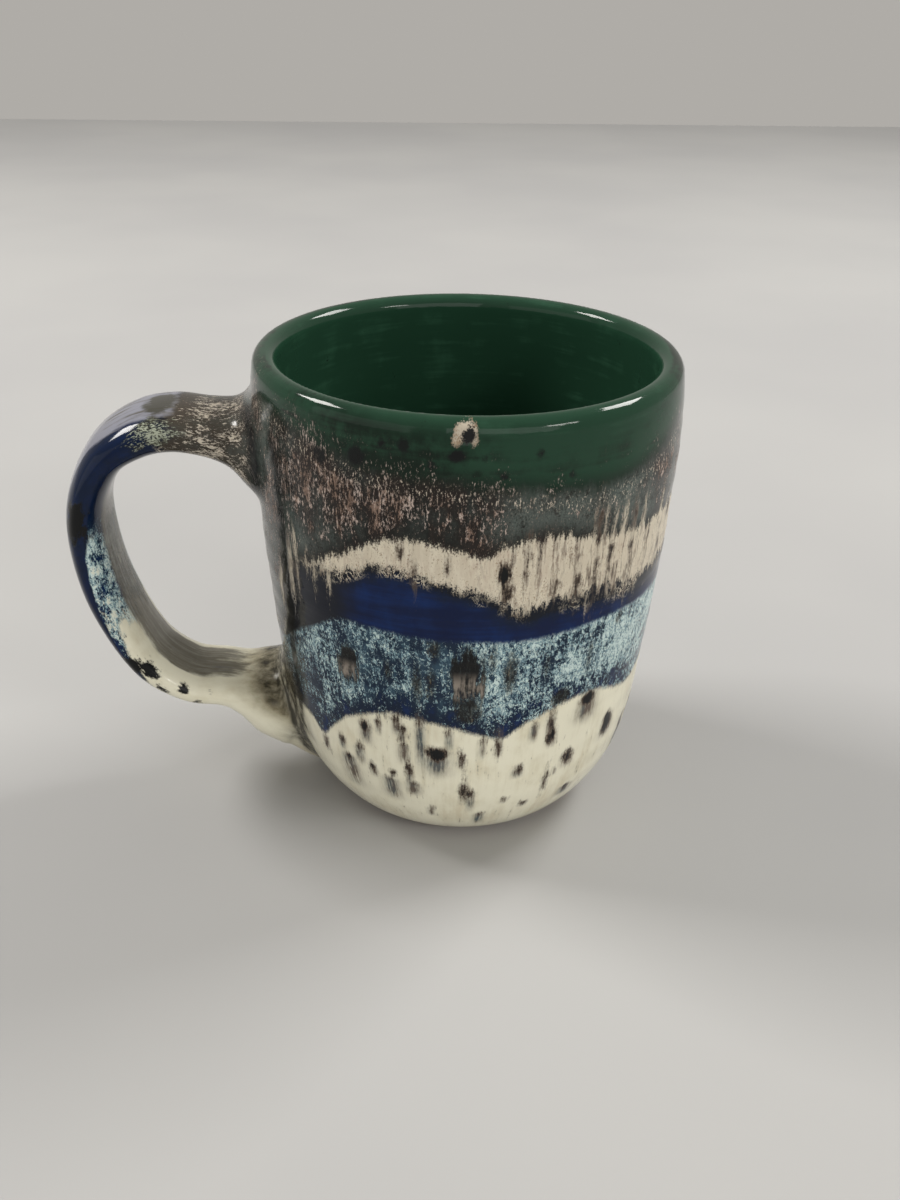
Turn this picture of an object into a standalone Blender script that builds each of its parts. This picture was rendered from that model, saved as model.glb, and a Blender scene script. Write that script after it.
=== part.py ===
"""Handmade stoneware mug: a thrown clay body, a pulled strap handle with its two worked joints,
and the glaze coats that were poured and dipped over them.

The mug stands on the plane z = 0 with its axis on Z, and its handle points along -X.
Lengths below are in millimetres and become metres when a mesh is made.
"""

import math

import bmesh
import bpy
from mathutils import Vector

MM = 0.001

# Driving dimensions
HEIGHT = 100.0
RIM_RADIUS = 42.6
LIP_THICKNESS = 5.0
BELLY_RADIUS = 43.4
FOOT_RADIUS = 26.6
FLOOR_THICKNESS = 7.0
WALL_THICKNESS = 5.4  # at INSIDE_TOP, below the lip
WALL_TAPER = 0.012  # how much thicker the wall grows for each millimetre further down
INSIDE_TOP = 90.0
INSIDE_CORNER = 20.0  # radius where the wall inside turns into the floor

# Coats and clearances
GLAZE = 0.5  # thickness of a fired glaze coat
GAP = 0.2  # clear space between a coat and the clay, and between two coats
JOINT_GAP = 0.3  # clear space round the handle's clay

# Heights at which one coat meets the next on the outside of the wall
RIM_SHOULDER = 94.0
GREEN_FOOT = 88.0
DARK_FOOT = 77.0
SAND_FOOT = 65.0
COBALT_FOOT = 57.0
SKY_FOOT = 36.5
CREAM_FOOT = 2.4
LINER_TOP = 86.0  # where the green rim coat meets the liner inside

# How finely round shapes are divided
STEPS = 40
LIP_POINTS = 7
CORNER_POINTS = 3
SECTION_POINTS = 16
RINGS_PER_STATION = 2
NEAR = 0.4  # outline points closer than this to a coat's end are left out

# Outside of the fired wall, (radius, height), from the foot up to the lip's shoulder
WALL_OUTSIDE = [
    (FOOT_RADIUS, 0.0),
    (30.1, 3.0),
    (33.7, 8.0),
    (36.6, 14.0),
    (38.7, 22.0),
    (39.9, 32.0),
    (41.1, 45.0),
    (42.3, 60.0),
    (43.0, 75.0),
    (BELLY_RADIUS, 86.0),
    (43.0, RIM_SHOULDER),
]
INSIDE_HEIGHTS = (INSIDE_TOP, 70.0, 48.0, 29.0)

# Handle stations from the upper root to the lower one: (reach from the axis, height,
# half width along Y, half thickness). The first and the last lie inside the wall.
HANDLE_STATIONS = [
    (39.6, 81.5, 13.8, 9.8),
    (43.0, 82.1, 12.8, 9.1),
    (47.2, 82.9, 11.2, 6.0),
    (52.3, 83.9, 10.7, 4.7),
    (59.0, 84.8, 10.7, 4.6),
    (65.7, 83.5, 11.0, 4.5),
    (72.6, 79.0, 11.4, 4.1),
    (77.1, 70.2, 11.7, 3.9),
    (77.8, 59.7, 11.6, 4.1),
    (75.4, 46.4, 11.3, 4.2),
    (69.1, 32.3, 10.7, 4.0),
    (61.0, 25.6, 10.3, 3.7),
    (53.0, 24.1, 10.3, 3.8),
    (49.1, 22.7, 10.8, 4.6),
    (43.3, 20.4, 12.0, 8.2),
    (35.0, 15.5, 12.6, 10.5),
]
SECTION_POWER = 2.5  # 2 makes the strap's section an ellipse, and more makes it squarer
UPPER_JOINT_END = 3.0  # station number where the upper joint gives way to the strap
COAT_CHANGE = 8.6  # where the blue handle coat meets the cream one
LOWER_JOINT_START = 12.0  # where the strap gives way to the lower joint
PIECE_GAP = 0.025  # half the gap between two pieces of the handle, in station numbers

# The tongue of clay pressed down the wall below the lower joint:
# (reach of its outer face, height, half width)
TONGUE_STATIONS = [
    (45.0, 20.0, 10.0),
    (43.6, 13.0, 8.6),
    (41.0, 7.6, 6.4),
    (38.0, 4.6, 4.2),
    (34.6, 2.9, 1.8),
]
TONGUE_DEPTH = 16.0  # how far its back lies inside the wall, which trims it
TONGUE_CROWN = 5.0  # how much its face falls away towards its edges
TONGUE_FULLNESS = 0.6  # below 1 the face stays high nearer to its edges
TONGUE_POINTS = 9


def remove_everything():
    for item in list(bpy.data.objects):
        bpy.data.objects.remove(item, do_unlink=True)


def new_collection(name):
    made = bpy.data.collections.new(name)
    bpy.context.scene.collection.children.link(made)
    return made


def new_material(name, colour, roughness):
    made = bpy.data.materials.new(name)
    made.use_nodes = True
    shader = made.node_tree.nodes["Principled BSDF"]
    shader.inputs["Base Color"].default_value = (*colour, 1.0)
    shader.inputs["Roughness"].default_value = roughness
    shader.inputs["Metallic"].default_value = 0.0
    return made


def make_finishes():
    return {
        "clay": new_material("bare_stoneware", (0.52, 0.42, 0.31), 0.8),
        "green": new_material("green_glaze", (0.03, 0.12, 0.06), 0.12),
        "dark": new_material("dark_glaze", (0.06, 0.045, 0.035), 0.2),
        "sand": new_material("sand_glaze", (0.6, 0.46, 0.32), 0.3),
        "cobalt": new_material("cobalt_glaze", (0.02, 0.035, 0.2), 0.12),
        "sky": new_material("sky_glaze", (0.13, 0.22, 0.32), 0.15),
        "cream": new_material("cream_glaze", (0.66, 0.6, 0.42), 0.2),
    }


def add_object(name, mesh, home, finish=None):
    item = bpy.data.objects.new(name, mesh)
    home.objects.link(item)
    if finish:
        mesh.materials.append(finish)
    return item


def hide(item):
    """Marks a cutter, which is not a piece of the mug."""
    item.hide_render = True
    item.display_type = "WIRE"
    return item


def subtract(item, cutter):
    cut = item.modifiers.new("cut", "BOOLEAN")
    cut.operation = "DIFFERENCE"
    cut.solver = "EXACT"
    cut.object = cutter


def join(item, other):
    union = item.modifiers.new("join", "BOOLEAN")
    union.operation = "UNION"
    union.solver = "EXACT"
    union.object = other


def lathe(name, outline, home, finish=None, closed=False):
    """A turned piece from (radius, height) points that run down its outer side."""
    edges = [(i, i + 1) for i in range(len(outline) - 1)]
    if closed:
        edges.append((len(outline) - 1, 0))
    mesh = bpy.data.meshes.new(name)
    mesh.from_pydata([(radius * MM, 0.0, height * MM) for radius, height in outline], edges, [])
    item = add_object(name, mesh, home, finish)
    screw = item.modifiers.new("turn", "SCREW")
    screw.steps = STEPS
    screw.render_steps = STEPS
    screw.use_merge_vertices = True
    screw.merge_threshold = 0.00001
    screw.use_smooth_shade = True
    return item


def wall_radius(height):
    """Outer radius of the fired wall at a height."""
    for (low_radius, low), (high_radius, high) in zip(WALL_OUTSIDE, WALL_OUTSIDE[1:]):
        if height <= high:
            return low_radius + (high_radius - low_radius) * (height - low) / (high - low)
    return WALL_OUTSIDE[-1][0]


def inside_radius(height):
    """Inner radius of the fired wall at a height above the floor's corner."""
    thickness = WALL_THICKNESS + WALL_TAPER * (INSIDE_TOP - height)
    return wall_radius(height) - thickness


def outside_line(inset, top, bottom):
    """The wall's outside from top down to bottom, moved into the clay by inset."""
    points = [(wall_radius(top) - inset, top)]
    for radius, height in reversed(WALL_OUTSIDE):
        if bottom + NEAR < height < top - NEAR:
            points.append((radius - inset, height))
    points.append((wall_radius(bottom) - inset, bottom))
    return points


def lip_line(inset):
    """The lip from its inner side over the top to its outer side."""
    half = LIP_THICKNESS / 2
    points = []
    for i in range(LIP_POINTS):
        turn = math.pi * (1 - i / (LIP_POINTS - 1))
        across = RIM_RADIUS - half + (half - inset) * math.cos(turn)
        points.append((across, HEIGHT - half + (half - inset) * math.sin(turn)))
    return points


def inside_line(inset):
    """The inside from the floor's centre up the wall to INSIDE_TOP."""
    floor = FLOOR_THICKNESS - inset
    wall = [(inside_radius(height) + inset, height) for height in reversed(INSIDE_HEIGHTS)]
    points = [(0.0, floor)]
    for i in range(CORNER_POINTS):
        turn = math.radians(90.0) * i / CORNER_POINTS
        across = wall[0][0] - INSIDE_CORNER * (1 - math.sin(turn))
        points.append((across, floor + INSIDE_CORNER * (1 - math.cos(turn))))
    return points + wall


def make_clay_body(home, finish):
    inset = GLAZE + GAP
    outline = inside_line(inset) + lip_line(inset) + outside_line(inset, RIM_SHOULDER, 0.0)
    outline.append((0.0, 0.0))
    lathe("clay_body", outline, home, finish)


def make_liner(home, finish):
    top = LINER_TOP - GAP / 2
    reach = inside_radius(INSIDE_TOP)
    face = [point for point in inside_line(0.0) if point[1] < top - NEAR]
    back = [point for point in inside_line(GLAZE) if point[1] < top - NEAR]
    edge = [(reach, top), (reach + GLAZE, top)]
    lathe("liner_glaze", face + edge + list(reversed(back)), home, finish)


def make_rim_coat(home, finish):
    """The coat that hangs over the lip, outside and in."""

    def line(inset):
        reach = inside_radius(INSIDE_TOP) + inset
        inside = [(reach, LINER_TOP + GAP / 2), (reach, INSIDE_TOP)]
        outside = outside_line(inset, RIM_SHOULDER, GREEN_FOOT + GAP / 2)
        return inside + lip_line(inset) + outside

    outline = line(0.0) + list(reversed(line(GLAZE)))
    return lathe("rim_green_glaze", outline, home, finish, closed=True)


def make_outer_coat(name, top, bottom, home, finish):
    """A coat on the outside of the wall between two heights."""
    face = outside_line(0.0, top - GAP / 2, bottom + GAP / 2)
    back = outside_line(GLAZE, top - GAP / 2, bottom + GAP / 2)
    return lathe(name, face + list(reversed(back)), home, finish, closed=True)


def handle_station(number):
    """Catmull-Rom value of HANDLE_STATIONS at a fractional station number."""
    last = len(HANDLE_STATIONS) - 1
    low = min(int(number), last - 1)
    t = number - low
    around = [HANDLE_STATIONS[max(0, min(last, low + k))] for k in (-1, 0, 1, 2)]
    weights = (
        -0.5 * t + t**2 - 0.5 * t**3,
        1.0 - 2.5 * t**2 + 1.5 * t**3,
        0.5 * t + 2.0 * t**2 - 1.5 * t**3,
        -0.5 * t**2 + 0.5 * t**3,
    )
    columns = zip(*around)
    return [sum(w * value for w, value in zip(weights, column)) for column in columns]


def squared(value):
    """A sine or cosine pushed outwards, so that the section has fuller corners."""
    return math.copysign(abs(value) ** (2 / SECTION_POWER), value)


def handle_ring(number, inset):
    """One section of the handle, moved in from its surface by inset."""
    reach, height, half_width, half_thickness = handle_station(number)
    last = len(HANDLE_STATIONS) - 1
    step = 0.02
    ahead = handle_station(min(number + step, last))
    behind = handle_station(max(number - step, 0.0))
    along = Vector((ahead[0] - behind[0], ahead[1] - behind[1])).normalized()
    ring = []
    for i in range(SECTION_POINTS):
        turn = 2 * math.pi * i / SECTION_POINTS
        across = squared(math.cos(turn)) * (half_width - inset)
        out = squared(math.sin(turn)) * (half_thickness - inset)
        ring.append((-(reach - along.y * out), across, height + along.x * out))
    return ring


def handle_rings(start, end, inset):
    count = max(2, round((end - start) * RINGS_PER_STATION) + 1)
    return [handle_ring(start + (end - start) * i / (count - 1), inset) for i in range(count)]


def tongue_rings(grow):
    rings = []
    for reach, height, half_width in TONGUE_STATIONS:
        wide = half_width + grow
        ring = []
        for i in range(TONGUE_POINTS):
            turn = math.pi * i / (TONGUE_POINTS - 1)
            fall = TONGUE_CROWN * (1 - math.sin(turn) ** TONGUE_FULLNESS)
            ring.append((-(reach + grow - fall), wide * math.cos(turn), height))
        back = TONGUE_DEPTH - reach
        ring += [(back, -wide, height), (back, wide, height)]
        rings.append(ring)
    rings[-1] = [(x, y, z - grow) for x, y, z in rings[-1]]
    return rings


def loft(name, rings, home, finish=None, hollow=None):
    """A closed body through rings of points, or a tube whose inside is the hollow rings."""
    builder = bmesh.new()
    loops = [[builder.verts.new(Vector(point) * MM) for point in ring] for ring in rings]
    if hollow:
        for ring in reversed(hollow):
            loops.append([builder.verts.new(Vector(point) * MM) for point in ring])
        loops.append(loops[0])
    else:
        builder.faces.new(loops[0])
        builder.faces.new(loops[-1])
    for first, second in zip(loops, loops[1:]):
        for i in range(len(first)):
            j = (i + 1) % len(first)
            builder.faces.new((first[i], first[j], second[j], second[i]))
    bmesh.ops.recalc_face_normals(builder, faces=builder.faces)
    mesh = bpy.data.meshes.new(name)
    builder.to_mesh(mesh)
    builder.free()
    mesh.shade_smooth()
    return add_object(name, mesh, home, finish)


def make_wall_cutter(home):
    """The space of the clay body with a joint gap round it, which trims the handle's roots."""
    inset = GLAZE + GAP - JOINT_GAP
    margin = 5.0
    outline = [(0.0, HEIGHT + margin), (wall_radius(HEIGHT) - inset, HEIGHT + margin)]
    outline += outside_line(inset, RIM_SHOULDER, 0.0)
    outline += [(FOOT_RADIUS - inset, -margin), (0.0, -margin)]
    return hide(lathe("wall_cutter", outline, home))


def make_handle(home, tools, finishes):
    last = len(HANDLE_STATIONS) - 1
    strap_start = UPPER_JOINT_END + PIECE_GAP
    strap_end = LOWER_JOINT_START - PIECE_GAP
    wall = make_wall_cutter(tools)

    upper_rings = handle_rings(0.0, UPPER_JOINT_END - PIECE_GAP, 0.0)
    upper = loft("handle_upper_joint", upper_rings, home, finishes["clay"])
    subtract(upper, wall)

    strap_rings = handle_rings(strap_start, strap_end, GLAZE + GAP)
    loft("handle_strap", strap_rings, home, finishes["clay"])
    coats = (
        ("handle_blue_glaze", strap_start, COAT_CHANGE - PIECE_GAP, "cobalt"),
        ("handle_cream_glaze", COAT_CHANGE + PIECE_GAP, strap_end, "cream"),
    )
    for name, start, end, finish in coats:
        face = handle_rings(start, end, 0.0)
        back = handle_rings(start, end, GLAZE)
        loft(name, face, home, finishes[finish], hollow=back)

    lower_rings = handle_rings(LOWER_JOINT_START + PIECE_GAP, last, 0.0)
    lower = loft("handle_lower_joint", lower_rings, home, finishes["clay"])
    join(lower, hide(loft("tongue", tongue_rings(0.0), tools)))
    subtract(lower, wall)


def make_root_clearances(tools):
    """The handle's roots, grown by the joint gap, for cutting their place in the coats."""
    last = len(HANDLE_STATIONS) - 1
    shapes = {
        "upper_clearance": handle_rings(0.0, UPPER_JOINT_END, -JOINT_GAP),
        "lower_clearance": handle_rings(LOWER_JOINT_START, last, -JOINT_GAP),
        "tongue_clearance": tongue_rings(JOINT_GAP),
    }
    return [hide(loft(name, rings, tools)) for name, rings in shapes.items()]


def build():
    remove_everything()
    home = new_collection("stoneware_mug")
    tools = new_collection("cutters")
    finishes = make_finishes()

    make_clay_body(home, finishes["clay"])
    make_liner(home, finishes["green"])
    coats = [make_rim_coat(home, finishes["green"])]
    bands = (
        ("dark_band_glaze", GREEN_FOOT, DARK_FOOT, "dark"),
        ("sand_band_glaze", DARK_FOOT, SAND_FOOT, "sand"),
        ("cobalt_band_glaze", SAND_FOOT, COBALT_FOOT, "cobalt"),
        ("sky_band_glaze", COBALT_FOOT, SKY_FOOT, "sky"),
        ("cream_base_glaze", SKY_FOOT, CREAM_FOOT, "cream"),
    )
    for name, top, bottom, finish in bands:
        coats.append(make_outer_coat(name, top, bottom, home, finishes[finish]))

    make_handle(home, tools, finishes)
    for clearance in make_root_clearances(tools):
        for coat in coats:
            subtract(coat, clearance)


build()
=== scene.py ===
"""Looks of the handmade stoneware mug: one thrown and glazed surface, shaped by distance functions
and cut into the banded wall, the rim, the liner, the handle and the bare foot, with poured glazes.

Shapes are worked out in millimetres in the frame of the CAD model, with the mug's axis on Z and its
handle along -X, and become metres when a mesh is made. Places on the wall are given as an azimuth
in degrees, -90 being the front and 180 the handle, and a height.
"""

import math

import bmesh
import bpy
import numpy as np
from mathutils import Matrix, Vector


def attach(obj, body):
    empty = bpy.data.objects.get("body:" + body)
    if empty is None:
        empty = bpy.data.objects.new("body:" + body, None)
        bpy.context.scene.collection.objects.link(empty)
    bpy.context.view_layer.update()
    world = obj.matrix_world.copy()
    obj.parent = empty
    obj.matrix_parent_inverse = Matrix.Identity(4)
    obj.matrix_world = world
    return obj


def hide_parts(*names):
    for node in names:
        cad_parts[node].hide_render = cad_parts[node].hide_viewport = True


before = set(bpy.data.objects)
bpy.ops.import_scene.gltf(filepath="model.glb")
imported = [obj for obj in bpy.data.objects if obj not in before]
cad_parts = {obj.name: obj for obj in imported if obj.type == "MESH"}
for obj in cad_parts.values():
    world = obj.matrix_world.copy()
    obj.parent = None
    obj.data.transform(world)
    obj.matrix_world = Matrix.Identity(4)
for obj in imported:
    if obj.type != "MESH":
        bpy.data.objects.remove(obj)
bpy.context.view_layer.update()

MM = 0.001

# ---------------------------------------------------------------- dimensions, as in the CAD model
HEIGHT = 100.0
RIM_RADIUS = 42.6
LIP_THICKNESS = 5.0
FOOT_RADIUS = 26.6
FLOOR_THICKNESS = 7.0
WALL_THICKNESS = 5.4
WALL_TAPER = 0.012
INSIDE_TOP = 90.0
INSIDE_CORNER = 20.0
GREEN_FOOT = 88.0
LINER_TOP = 86.0
CREAM_FOOT = 2.4
WALL_OUTSIDE = [
    (FOOT_RADIUS, 0),
    (30.1, 3),
    (33.7, 8),
    (36.6, 14),
    (38.7, 22),
    (39.9, 32),
    (41.1, 45),
    (42.3, 60),
    (43, 75),
    (43.4, 86),
    (43, 94),
    (RIM_RADIUS, 97.5),
]
HANDLE_STATIONS = [
    (39.6, 81.5, 13.8, 9.8),
    (43, 82.1, 12.8, 9.1),
    (47.2, 82.9, 11.2, 6),
    (52.3, 83.9, 10.7, 4.7),
    (59, 84.8, 10.7, 4.6),
    (65.7, 83.5, 11, 4.5),
    (72.6, 79, 11.4, 4.1),
    (77.1, 70.2, 11.7, 3.9),
    (77.8, 59.7, 11.6, 4.1),
    (75.4, 46.4, 11.3, 4.2),
    (69.1, 32.3, 10.7, 4),
    (61, 25.6, 10.3, 3.7),
    (53, 24.1, 10.3, 3.8),
    (49.1, 22.7, 10.8, 4.6),
    (43.3, 20.4, 12, 8.2),
    (37.6, 17.6, 11.8, 8),
]
TONGUE_STATIONS = [
    (41, 23, 9.6, 5.6),
    (39.2, 17.5, 10.2, 5.6),
    (37, 12.6, 9.2, 4.9),
    (34.4, 8.6, 7.4, 4),
    (31.6, 5.2, 5, 3.2),
    (28.6, 2.6, 2.6, 2.4),
]
SECTION_POWER = 2.4
FILLET = 4.5  # how far the clay was smoothed out round the handle's roots
TONGUE_BLEND = 4.0  # the same between the handle and the tongue
HANDLE_ZONE = 24.0  # how far out the handle's surroundings begin, and their half width
OUTLINE_STEP = 0.12  # distance between points of the body's section
OUTLINE_ROUNDS = 24  # how often that section is softened
VOXEL = 0.8


# ---------------------------------------------------------------- curves
def catmull_rom(points, count):
    """Even samples of a Catmull-Rom curve through rows of points, and their station numbers."""
    points = np.asarray(points, float)
    last = len(points) - 1
    at = np.linspace(0.0, last, count)
    low = np.minimum(at.astype(int), last - 1)
    t = (at - low)[:, None]
    p0, p1, p2, p3 = (points[np.clip(low + k, 0, last)] for k in (-1, 0, 1, 2))
    curve = p1 + 0.5 * (
        (p2 - p0) * t
        + (2 * p0 - 5 * p1 + 4 * p2 - p3) * t**2
        + (3 * p1 - p0 - 3 * p2 + p3) * t**3
    )
    return curve, at


WALL_CURVE, _ = catmull_rom(WALL_OUTSIDE, 600)


def wall_radius(height):
    return np.interp(height, WALL_CURVE[:, 1], WALL_CURVE[:, 0])


def inside_radius(height):
    return wall_radius(height) - WALL_THICKNESS - WALL_TAPER * (INSIDE_TOP - height)


def arc(centre, radius, start, end, count):
    turns = np.radians(np.linspace(start, end, count))
    return np.stack([centre[0] + radius * np.cos(turns), centre[1] + radius * np.sin(turns)], 1)


def lengths_along(line):
    return np.concatenate([[0.0], np.cumsum(np.linalg.norm(np.diff(line, axis=0), axis=1))])


def resample(line, step):
    """Points along a polyline, a step apart."""
    lengths = lengths_along(line)
    at = np.linspace(0.0, lengths[-1], int(lengths[-1] / step))
    return np.stack([np.interp(at, lengths, line[:, i]) for i in (0, 1)], 1)


def body_outline():
    """The mug's section from the foot's centre, round the outside and the lip, to the floor."""
    foot = np.array([(0.0, 0.0), (FOOT_RADIUS - 0.8, 0.0)])
    side = WALL_CURVE[WALL_CURVE[:, 1] > 0.8]
    half = LIP_THICKNESS / 2
    lip = arc((RIM_RADIUS - half, HEIGHT - half), half, 4.0, 180.0, 60)
    heights = np.linspace(INSIDE_TOP, FLOOR_THICKNESS + INSIDE_CORNER, 200)
    wall = np.stack([inside_radius(heights), heights], 1)
    centre = (wall[-1, 0] - INSIDE_CORNER, FLOOR_THICKNESS + INSIDE_CORNER)
    corner = arc(centre, INSIDE_CORNER, 0.0, -90.0, 90)
    middle = np.array([(0.0, FLOOR_THICKNESS)])
    line = np.concatenate([foot, side, lip, wall, corner[1:], middle])
    line = resample(line, OUTLINE_STEP)
    for _ in range(OUTLINE_ROUNDS):
        line[1:-1] = 0.5 * line[1:-1] + 0.25 * (line[:-2] + line[2:])
    return line


# ---------------------------------------------------------------- distance to the thrown body
class Body:
    """Signed distance to the turned body and length along its section, looked up in a grid."""

    STEP = 0.25
    REACH = 92.0
    BOTTOM = -8.0
    TOP = 110.0

    def __init__(self):
        line = body_outline()
        lengths = lengths_along(line)
        tangent = np.gradient(line, axis=0)
        tangent /= np.linalg.norm(tangent, axis=1)[:, None]
        radii = np.arange(0.0, self.REACH, self.STEP)
        heights = np.arange(self.BOTTOM, self.TOP, self.STEP)
        self.distance = np.zeros((len(radii), len(heights)))
        self.along = np.zeros_like(self.distance)
        up_away = ((heights[:, None] - line[:, 1]) ** 2).astype(np.float32)
        for i, radius in enumerate(radii):
            near = (up_away + ((radius - line[:, 0]) ** 2).astype(np.float32)).argmin(1)
            to_node = np.stack([radius - line[near, 0], heights - line[near, 1]], 1)
            slide = (to_node * tangent[near]).sum(1)
            slide = np.clip(slide, -0.1, 0.1)
            to_node -= slide[:, None] * tangent[near]
            side = tangent[near, 1] * to_node[:, 0] - tangent[near, 0] * to_node[:, 1]
            self.distance[i] = np.linalg.norm(to_node, axis=1) * np.where(side < 0, -1.0, 1.0)
            self.along[i] = lengths[near] + slide
        self.line = line
        self.lengths = lengths

    def look_up(self, table, points):
        radius = np.hypot(points[:, 0], points[:, 1]) / self.STEP
        height = (points[:, 2] - self.BOTTOM) / self.STEP
        i = np.clip(radius.astype(int), 0, table.shape[0] - 2)
        j = np.clip(height.astype(int), 0, table.shape[1] - 2)
        u = np.clip(radius - i, 0.0, 1.0)
        v = np.clip(height - j, 0.0, 1.0)
        low = table[i, j] * (1 - u) + table[i + 1, j] * u
        high = table[i, j + 1] * (1 - u) + table[i + 1, j + 1] * u
        return low * (1 - v) + high * v

    def length_at(self, height):
        """Length along the section where the outside of the wall reaches a height."""
        crown = self.line[:, 1].argmax()
        return np.interp(height, self.line[:crown, 1], self.lengths[:crown])


class Strap:
    """Signed distance to a bar with a squared oval section along a curve in the plane y = 0."""

    SAMPLES = 500
    WEST = -92.0
    EAST = -10.0
    BOTTOM = -12.0
    TOP = 112.0

    def __init__(self, stations):
        rows, at = catmull_rom(stations, self.SAMPLES)
        self.rows = rows
        self.at = at
        self.line = np.stack([-rows[:, 0], rows[:, 1]], 1)
        tangent = np.gradient(self.line, axis=0)
        self.tangent = tangent / np.linalg.norm(tangent, axis=1)[:, None]
        self.lengths = lengths_along(self.line)
        across = np.arange(self.WEST, self.EAST)
        heights = np.arange(self.BOTTOM, self.TOP)
        flat = np.stack(np.meshgrid(across, heights, indexing="ij"), -1).reshape(-1, 2)
        away = ((flat[:, None] - self.line[None]) ** 2).sum(2)
        self.nearest = away.argmin(1).reshape(len(across), len(heights))

    def at_place(self, place, column):
        return np.interp(place, np.arange(self.SAMPLES), column)

    def frame(self, points):
        """Where points lie: sample place, slide past an end, side (along Y) and rise (outwards)."""
        i = np.clip((points[:, 0] - self.WEST).round().astype(int), 0, self.nearest.shape[0] - 1)
        j = np.clip((points[:, 2] - self.BOTTOM).round().astype(int), 0, self.nearest.shape[1] - 1)
        place = self.nearest[i, j].astype(float)
        spacing = self.lengths[-1] / (self.SAMPLES - 1)
        for _ in range(4):
            tx = self.at_place(place, self.tangent[:, 0])
            tz = self.at_place(place, self.tangent[:, 1])
            dx = points[:, 0] - self.at_place(place, self.line[:, 0])
            dz = points[:, 2] - self.at_place(place, self.line[:, 1])
            slide = dx * tx + dz * tz
            moved = np.clip(place + 0.7 * np.clip(slide / spacing, -12, 12), 0, self.SAMPLES - 1)
            left_over = slide - (moved - place) * spacing
            place = moved
        return place, left_over, points[:, 1], dx * tz - dz * tx

    def distance(self, points):
        place, slide, side, rise = self.frame(points)
        wide = self.at_place(place, self.rows[:, 2])
        thick = self.at_place(place, self.rows[:, 3])
        power = SECTION_POWER
        across = np.abs(side) / wide
        out = np.abs(rise) / thick
        level = (across**power + out**power + 1e-9) ** (1 / power)
        slope = np.hypot(across ** (power - 1) / wide, out ** (power - 1) / thick)
        slope *= level ** (1 - power)
        inside = (level - 1.0) / np.maximum(slope, 1 / wide)
        at_end = (place < 0.5) | (place > self.SAMPLES - 1.5)
        beyond = np.abs(slide)
        capped = np.hypot(np.maximum(inside, 0.0), beyond)
        return np.where(at_end & (beyond > 0.3), capped, inside)


BODY = Body()
HANDLE = Strap(HANDLE_STATIONS)
TONGUE = Strap(TONGUE_STATIONS)


def smooth_step(value, low, high):
    t = np.clip((value - low) / (high - low), 0.0, 1.0)
    return t * t * (3 - 2 * t)


def blend_min(a, b, reach):
    """The smaller of two distances, with a fillet of about the reach between them."""
    h = np.maximum(reach - np.abs(a - b), 0.0) / reach
    return np.minimum(a, b) - h * h * reach / 4


def near_handle(points):
    return (points[:, 0] < -HANDLE_ZONE) & (np.abs(points[:, 1]) < HANDLE_ZONE)


def handle_distance(points):
    return blend_min(HANDLE.distance(points), TONGUE.distance(points), TONGUE_BLEND)


def mug_distance(points):
    """Signed distance to the whole mug. The fillets fade out inside the wall."""
    result = BODY.look_up(BODY.distance, points)
    near = near_handle(points)
    some = points[near]
    past_wall = np.hypot(some[:, 0], some[:, 1]) - wall_radius(some[:, 2])
    fillet = 0.05 + FILLET * smooth_step(past_wall, -4.0, -2.2)
    result[near] = blend_min(result[near], handle_distance(some), fillet)
    return result


def mug_slope(points):
    step = 0.05
    slope = np.empty_like(points)
    for axis in range(3):
        shift = np.zeros(3)
        shift[axis] = step
        slope[:, axis] = (mug_distance(points + shift) - mug_distance(points - shift)) / (2 * step)
    return slope


def settle(points, rounds):
    """Moves points onto the mug's surface."""
    for _ in range(rounds):
        slope = mug_slope(points)
        size = np.maximum((slope**2).sum(1), 0.2)
        move = (mug_distance(points) / size)[:, None] * slope
        length = np.linalg.norm(move, axis=1)
        points = points - move * np.minimum(1.0, 1.5 / np.maximum(length, 1e-6))[:, None]
    return points


# ---------------------------------------------------------------- rough mesh of the whole mug
def grid_faces(rings, around, closed=False):
    faces = []
    for i in range(rings if closed else rings - 1):
        for j in range(around):
            a, b = i * around, (i + 1) % rings * around
            k = (j + 1) % around
            faces.append((a + j, a + k, b + k, b + j))
    return faces


def add_block(builder, points, faces):
    made = [builder.verts.new(point) for point in points]
    for face in faces:
        builder.faces.new([made[i] for i in face])


def strap_block(builder, strap, around=32):
    picks = np.linspace(0, strap.SAMPLES - 1, 90).astype(int)
    turns = np.linspace(0.0, 2 * math.pi, around, endpoint=False)
    rings = []
    for pick in picks:
        _, _, wide, thick = strap.rows[pick]
        power = 2 / SECTION_POWER
        side = np.sign(np.cos(turns)) * np.abs(np.cos(turns)) ** power * wide
        rise = np.sign(np.sin(turns)) * np.abs(np.sin(turns)) ** power * thick
        x = strap.line[pick, 0] + rise * strap.tangent[pick, 1]
        z = strap.line[pick, 1] - rise * strap.tangent[pick, 0]
        rings.append(np.stack([x, side, z], 1))
    faces = grid_faces(len(rings), around)
    faces.append(tuple(range(around)))
    faces.append(tuple((len(rings) - 1) * around + i for i in reversed(range(around))))
    add_block(builder, np.concatenate(rings), faces)


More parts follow.
